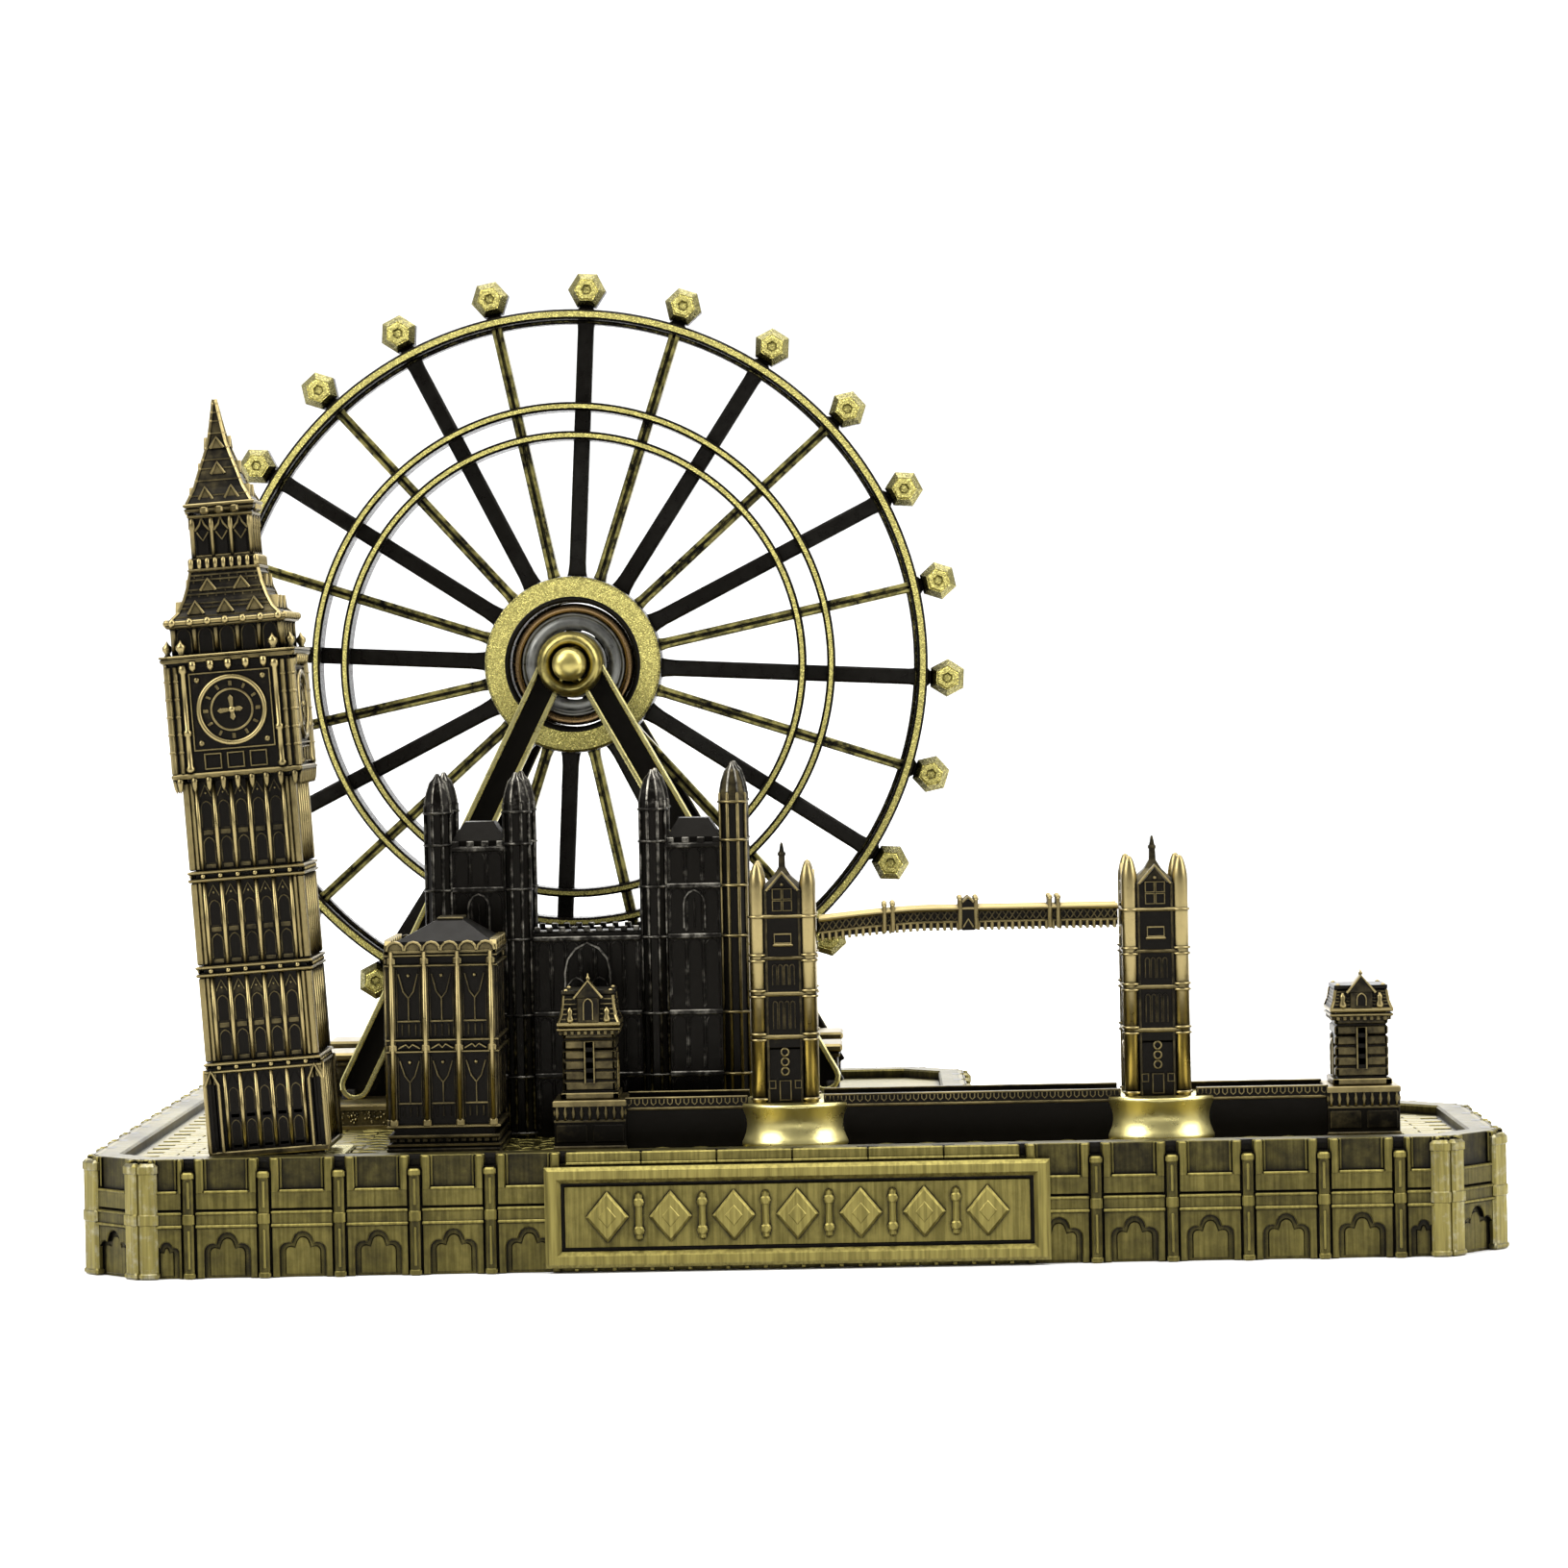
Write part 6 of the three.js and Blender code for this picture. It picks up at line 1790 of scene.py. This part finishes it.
def build_screw(node):
    """A pan-headed screw with a cross recess, driven from below."""
    c = Casting()
    lo, hi = mm_box(node)
    x, y = (lo.x + hi.x) / 2, (lo.y + hi.y) / 2
    head = lo.z + 1.4
    c.turned(x, y, [(1.2, lo.z + 0.55), (1.85, lo.z + 0.5), (2.1, lo.z + 0.75), (2.3, head - 0.3),
                    (2.3, head), (1.1, head + 0.02), (1.1, hi.z)], 1.0, 32, smooth=False)
    for a in range(4):
        angle = TAU * a / 4 + TAU / 8
        px, py = x + 0.95 * math.cos(angle), y + 0.95 * math.sin(angle)
        c.turned(px, py, [(0.5, lo.z), (0.62, lo.z + 0.15), (0.62, lo.z + 0.9)], 1.0, 10)
    return mount(c, node + "_turned", [finish("ZincPlate")], "stand", [node])


# ------------------------------------------------------------------- the stage


def build_floor():
    """A pale sweep that runs level under the model and curves up far behind it."""
    mesh = bpy.data.meshes.new("studio_sweep")
    profile = [(-2.2, 0.0), (-1.0, 0.0), (0.0, 0.0), (0.9, 0.0)]
    curve = [math.pi / 2 * i / 12 for i in range(1, 13)]
    profile += [(0.9 + 0.5 * math.sin(a), 0.5 - 0.5 * math.cos(a)) for a in curve]
    profile.append((1.4, 2.4))
    xs = [-2.4, -0.8, 0.8, 2.4]
    points = [(x, y, z - 0.00005) for y, z in profile for x in xs]
    n = len(xs)
    faces = [(k * n + i, k * n + i + 1, (k + 1) * n + i + 1, (k + 1) * n + i)
             for k in range(len(profile) - 1) for i in range(n - 1)]
    mesh.from_pydata(points, [], faces)
    mesh.materials.append(finish("StagePaper"))
    for face in mesh.polygons:
        face.use_smooth = True
    sweep = bpy.data.objects.new("studio_sweep", mesh)
    bpy.context.scene.collection.objects.link(sweep)


def add_soft_box(name, place, target, size, power):
    """A square area light aimed at a target."""
    data = bpy.data.lights.new(name, "AREA")
    data.shape = "RECTANGLE"
    data.size, data.size_y = size
    data.energy = power
    lamp = bpy.data.objects.new(name, data)
    bpy.context.scene.collection.objects.link(lamp)
    lamp.location = place
    lamp.rotation_euler = (Vector(target) - Vector(place)).to_track_quat("-Z", "Y").to_euler()
    return lamp


def add_camera(studio):
    """A long lens a little above the tray, turned slightly left and down."""
    data = bpy.data.cameras.new("front_camera")
    data.sensor_width = 36.0
    data.lens = studio.lens
    camera = bpy.data.objects.new("front_camera", data)
    bpy.context.scene.collection.objects.link(camera)
    yaw, pitch, roll = studio.camera_yaw, studio.camera_pitch, studio.camera_roll
    forward = Vector((-math.sin(yaw) * math.cos(pitch), math.cos(yaw) * math.cos(pitch), -math.sin(pitch)))
    level = forward.cross(Vector((0, 0, 1))).normalized()
    upright = level.cross(forward)
    right = level * math.cos(roll) + upright * math.sin(roll)
    up = upright * math.cos(roll) - level * math.sin(roll)
    turn = Matrix((right, up, -forward)).transposed().to_4x4()
    camera.matrix_world = Matrix.Translation(Vector(studio.camera_place)) @ turn
    bpy.context.scene.camera = camera


def build_stage(studio):
    """The sweep, four soft boxes, a surround that is dimmer in front, and the camera."""
    build_floor()
    middle = (0.0, 0.0, 0.05)
    add_soft_box("left_soft_box", (-0.75, -0.55, 0.75), middle, (0.7, 0.9), 16 * studio.light)
    add_soft_box("right_soft_box", (0.8, -0.35, 0.6), middle, (0.6, 0.9), 10 * studio.light)
    add_soft_box("top_soft_box", (0.0, 0.1, 1.1), middle, (1.2, 0.9), 14 * studio.light)
    add_soft_box("rear_soft_box", (0.1, 0.9, 0.6), middle, (1.0, 0.6), 8 * studio.light)
    world = bpy.data.worlds.new("studio_world")
    bpy.context.scene.world = world
    world.use_nodes = True
    background = world.node_tree.nodes["Background"]
    background.inputs["Strength"].default_value = studio.surround
    tree = world.node_tree
    towards = add_node(tree, "ShaderNodeTexCoord").outputs["Generated"]
    depth = add_node(tree, "ShaderNodeSeparateXYZ", {0: towards})
    behind = smooth_range(tree, depth.outputs["Y"], -0.75, 0.25, studio.front_dim, 1.0)
    above = smooth_range(tree, depth.outputs["Z"], 0.15, 0.8, 0.0, 0.6)
    glow = math_node(tree, "MAXIMUM", behind, above)
    shade = add_node(tree, "ShaderNodeCombineColor", {0: glow, 1: glow, 2: glow}).outputs[0]
    tree.links.new(shade, background.inputs["Color"])
    bpy.context.scene.view_settings.view_transform = "Standard"
    add_camera(studio)


# ------------------------------------------------------------------- settings


def length_setting(name, description, default_mm):
    return bpy.props.FloatProperty(name=name, description=description, default=default_mm * MM, unit="LENGTH",
                                   subtype="DISTANCE", precision=5)


def angle_setting(name, description, default_degrees):
    return bpy.props.FloatProperty(name=name, description=description, unit="ROTATION",
                                   default=math.radians(default_degrees))


def colour_setting(name, description, default):
    return bpy.props.FloatVectorProperty(name=name, description=description, default=default, size=3,
                                         subtype="COLOR", min=0.0, max=1.0)


class SkylineShape(bpy.types.PropertyGroup):
    """Sizes of the castings that a maker might change."""

    bay: length_setting("Wall bay", "Distance between the buttresses of the tray's walls", 8.85)
    buttress_out: length_setting("Buttress depth", "How far a buttress stands out from the wall", 0.5)
    chamfer: length_setting("Corner cut", "Size of the tray's 45 degree corner cuts", 7.2)
    wing_x: length_setting("Wing side", "Where the rear wing's right wall stands", 23.0)
    wing_y: length_setting("Wing start", "Where the shallow part's rear wall stands", -8.0)
    parapet: length_setting("Parapet thickness", "Thickness of the tray's walls above its floor", 4.1)
    floor_height: length_setting("Floor height", "Height of the tray's floor above the table", 12.8)
    plate_frame: length_setting("Plate border", "Width of the mitred border of the ornament plate", 1.9)
    tower_x: length_setting("Tower place, across", "Where the clock tower stands, left to right", -61.95)
    tower_y: length_setting("Tower place, deep", "Where the clock tower stands, front to back", -42.5)
    tower_lean: angle_setting("Tower lean", "How far the clock tower leans to the right", -3.5)
    first_spoke: angle_setting("First spoke", "How far the first spoke is turned clockwise from the top", 3.2)


class SkylineFinish(bpy.types.PropertyGroup):
    """Colours of the plating, lacquer and steel."""

    olive_brass: colour_setting("Olive brass", "Worn plating of the tray", (0.2, 0.168, 0.05))
    worn_brass: colour_setting("Worn brass", "Bright ribs of the buildings", (0.27, 0.215, 0.095))
    wheel_brass: colour_setting("Wheel brass", "Blasted faces of the wheel", (0.53, 0.47, 0.15))
    worn_silver: colour_setting("Worn silver", "Rubbed corners of the tray", (0.3, 0.28, 0.19))
    # Near black: a painted dark reflection on the broad spokes, and the black of the hub's lip.
    black_and_painted_reflection: colour_setting("Black bronze", "Broad black spokes", (0.05, 0.048, 0.043))
    worn_bronze: colour_setting("Worn bronze", "Flecks on the black castings", (0.24, 0.225, 0.19))
    flecked_brass: colour_setting("Flecked brass", "Flecks on the thin spokes", (0.42, 0.37, 0.12))
    bright_edge: colour_setting("Bright edge", "Lips of the A-frames, tower's slab", (0.62, 0.56, 0.24))
    barrel_brass: colour_setting("Barrel brass", "Barrels round the axle", (0.3, 0.25, 0.08))
    button_brass: colour_setting("Button brass", "The axle's button end and cap", (0.44, 0.37, 0.12))
    pier_brass: colour_setting("Pier brass", "Polished bridge piers", (0.66, 0.58, 0.24))
    bearing_bronze: colour_setting("Bearing bronze", "Stained outer ring of the bearing", (0.2, 0.13, 0.06))
    lacquer: colour_setting("Lacquer", "Dark antiquing in the hollows", (0.006, 0.005, 0.0035))
    bearing_steel: colour_setting("Bearing steel", "Ground rings of the ball bearing", (0.22, 0.22, 0.2))
    zinc_plate: colour_setting("Zinc plate", "Plating of the screws", (0.5, 0.51, 0.52))
    stage_paper: colour_setting("Stage paper", "The studio's pale sweep", (0.86, 0.86, 0.86))


class SkylineStudio(bpy.types.PropertyGroup):
    """Camera and light."""

    lens: bpy.props.FloatProperty(name="Lens", description="Focal length in millimetres", default=108.16,
                                  unit="CAMERA")
    camera_place: bpy.props.FloatVectorProperty(name="Camera place", description="Where the camera stands",
                                                default=(0.0086, -0.605, 0.069), unit="LENGTH",
                                                subtype="TRANSLATION")
    camera_yaw: bpy.props.FloatProperty(name="Camera yaw", description="Turn to the left", default=0.015815,
                                        unit="ROTATION")
    camera_pitch: bpy.props.FloatProperty(name="Camera pitch", description="Tilt downwards", default=0.022547,
                                          unit="ROTATION")
    camera_roll: bpy.props.FloatProperty(name="Camera roll", description="Roll about the view axis",
                                         default=-0.02, unit="ROTATION")
    light: bpy.props.FloatProperty(name="Light", description="Strength of the soft boxes", default=1.0,
                                   min=0.0)
    surround: bpy.props.FloatProperty(name="Surround", description="Strength of the surrounding light",
                                      default=1.0, min=0.0)
    front_dim: bpy.props.FloatProperty(name="Front dimming", default=0.3, min=0.0, max=1.0,
                                       description="Share of the surround left in front", subtype="FACTOR")


# ------------------------------------------------------------------ operators


class SKYLINE_OT_stage(bpy.types.Operator):
    """Lays the floor sweep and sets up the lights and the camera"""

    bl_idname = "skyline.stage"
    bl_label = "Stage"

    def execute(self, context):
        build_stage(context.scene.skyline_studio)
        return {"FINISHED"}


class SKYLINE_OT_tray(bpy.types.Operator):
    """Casts the tray with its buttressed walls, paving and water"""

    bl_idname = "skyline.tray"
    bl_label = "Tray"

    def execute(self, context):
        build_tray(context.scene.skyline_shape)
        return {"FINISHED"}


class SKYLINE_OT_plate(bpy.types.Operator):
    """Casts the framed ornament plate on the front wall"""

    bl_idname = "skyline.plate"
    bl_label = "Ornament Plate"

    def execute(self, context):
        build_name_plate(context.scene.skyline_shape)
        return {"FINISHED"}


class SKYLINE_OT_plinth(bpy.types.Operator):
    """Casts the stepped plinth under the wheel"""

    bl_idname = "skyline.plinth"
    bl_label = "Wheel Plinth"

    def execute(self, context):
        build_plinth()
        return {"FINISHED"}


class SKYLINE_OT_a_frames(bpy.types.Operator):
    """Casts the front and rear A-frames"""

    bl_idname = "skyline.a_frames"
    bl_label = "A-Frames"

    def execute(self, context):
        build_a_frame(-1, "front_a_frame")
        build_a_frame(1, "rear_a_frame")
        return {"FINISHED"}


class SKYLINE_OT_axle(bpy.types.Operator):
    """Turns the axle, its end cap and the two spacers"""

    bl_idname = "skyline.axle"
    bl_label = "Axle"

    def execute(self, context):
        build_axle()
        return {"FINISHED"}


class SKYLINE_OT_bearing(bpy.types.Operator):
    """Turns the ball bearing's rings, shields and balls, and finishes its cage"""

    bl_idname = "skyline.bearing"
    bl_label = "Ball Bearing"

    def execute(self, context):
        build_bearing()
        cage = frame["nodes"]["bearing_cage"]
        for slot in cage.material_slots:
            slot.material = finish("BearingSteel")
        return {"FINISHED"}


class SKYLINE_OT_wheel(bpy.types.Operator):
    """Casts the observation wheel with its spokes and capsules"""

    bl_idname = "skyline.wheel"
    bl_label = "Observation Wheel"

    def execute(self, context):
        build_wheel(context.scene.skyline_shape)
        return {"FINISHED"}


class SKYLINE_OT_clock_tower(bpy.types.Operator):
    """Casts the leaning clock tower and the slab under it"""

    bl_idname = "skyline.clock_tower"
    bl_label = "Clock Tower"

    def execute(self, context):
        build_clock_tower(context.scene.skyline_shape)
        build_tower_foot()
        return {"FINISHED"}


class SKYLINE_OT_palace(bpy.types.Operator):
    """Casts the palace block"""

    bl_idname = "skyline.palace"
    bl_label = "Palace"

    def execute(self, context):
        build_palace()
        return {"FINISHED"}


class SKYLINE_OT_abbey(bpy.types.Operator):
    """Casts the abbey front with its two turreted towers"""

    bl_idname = "skyline.abbey"
    bl_label = "Abbey"

    def execute(self, context):
        build_abbey()
        return {"FINISHED"}


class SKYLINE_OT_bridge(bpy.types.Operator):
    """Casts the bridge: deck, main towers, end towers and walkway"""

    bl_idname = "skyline.bridge"
    bl_label = "Bridge"

    def execute(self, context):
        build_bridge_deck()
        for side in ("left", "right"):
            build_bridge_tower(f"bridge_tower_{side}")
            build_end_tower(f"bridge_end_tower_{side}")
        build_walkway()
        return {"FINISHED"}


class SKYLINE_OT_screws(bpy.types.Operator):
    """Turns the screws that hold the castings from below"""

    bl_idname = "skyline.screws"
    bl_label = "Screws"

    def execute(self, context):
        for node in sorted(frame["nodes"]):
            if "screw" in node:
                build_screw(node)
        return {"FINISHED"}


class SKYLINE_PT_panel(bpy.types.Panel):
    """Lists the settings and the makers of the souvenir"""

    bl_idname = "SKYLINE_PT_panel"
    bl_label = "Skyline Souvenir"
    bl_space_type = "VIEW_3D"
    bl_region_type = "UI"
    bl_category = "Skyline"

    def draw(self, context):
        for group in SETTINGS:
            settings = getattr(context.scene, group)
            box = self.layout.box()
            for name in settings.__annotations__:
                box.prop(settings, name)
        column = self.layout.column(align=True)
        for maker in MAKERS:
            column.operator(maker.bl_idname)


SETTINGS = {"skyline_shape": SkylineShape, "skyline_finish": SkylineFinish, "skyline_studio": SkylineStudio}
MAKERS = (
    SKYLINE_OT_stage, SKYLINE_OT_tray, SKYLINE_OT_plate, SKYLINE_OT_plinth, SKYLINE_OT_a_frames,
    SKYLINE_OT_axle, SKYLINE_OT_bearing, SKYLINE_OT_wheel, SKYLINE_OT_clock_tower, SKYLINE_OT_palace,
    SKYLINE_OT_abbey, SKYLINE_OT_bridge, SKYLINE_OT_screws,
)


def register():
    for kind in (*SETTINGS.values(), *MAKERS, SKYLINE_PT_panel):
        bpy.utils.register_class(kind)
    for name, kind in SETTINGS.items():
        setattr(bpy.types.Scene, name, bpy.props.PointerProperty(type=kind))


def unregister():
    for name in SETTINGS:
        delattr(bpy.types.Scene, name)
    for kind in reversed((*SETTINGS.values(), *MAKERS, SKYLINE_PT_panel)):
        bpy.utils.unregister_class(kind)


def main():
    register()
    bpy.ops.skyline.stage()
    bpy.ops.skyline.tray()
    bpy.ops.skyline.plate()
    bpy.ops.skyline.plinth()
    bpy.ops.skyline.a_frames()
    bpy.ops.skyline.axle()
    bpy.ops.skyline.bearing()
    bpy.ops.skyline.wheel()
    bpy.ops.skyline.clock_tower()
    bpy.ops.skyline.palace()
    bpy.ops.skyline.abbey()
    bpy.ops.skyline.bridge()
    bpy.ops.skyline.screws()


if __name__ == "__main__":
    main()
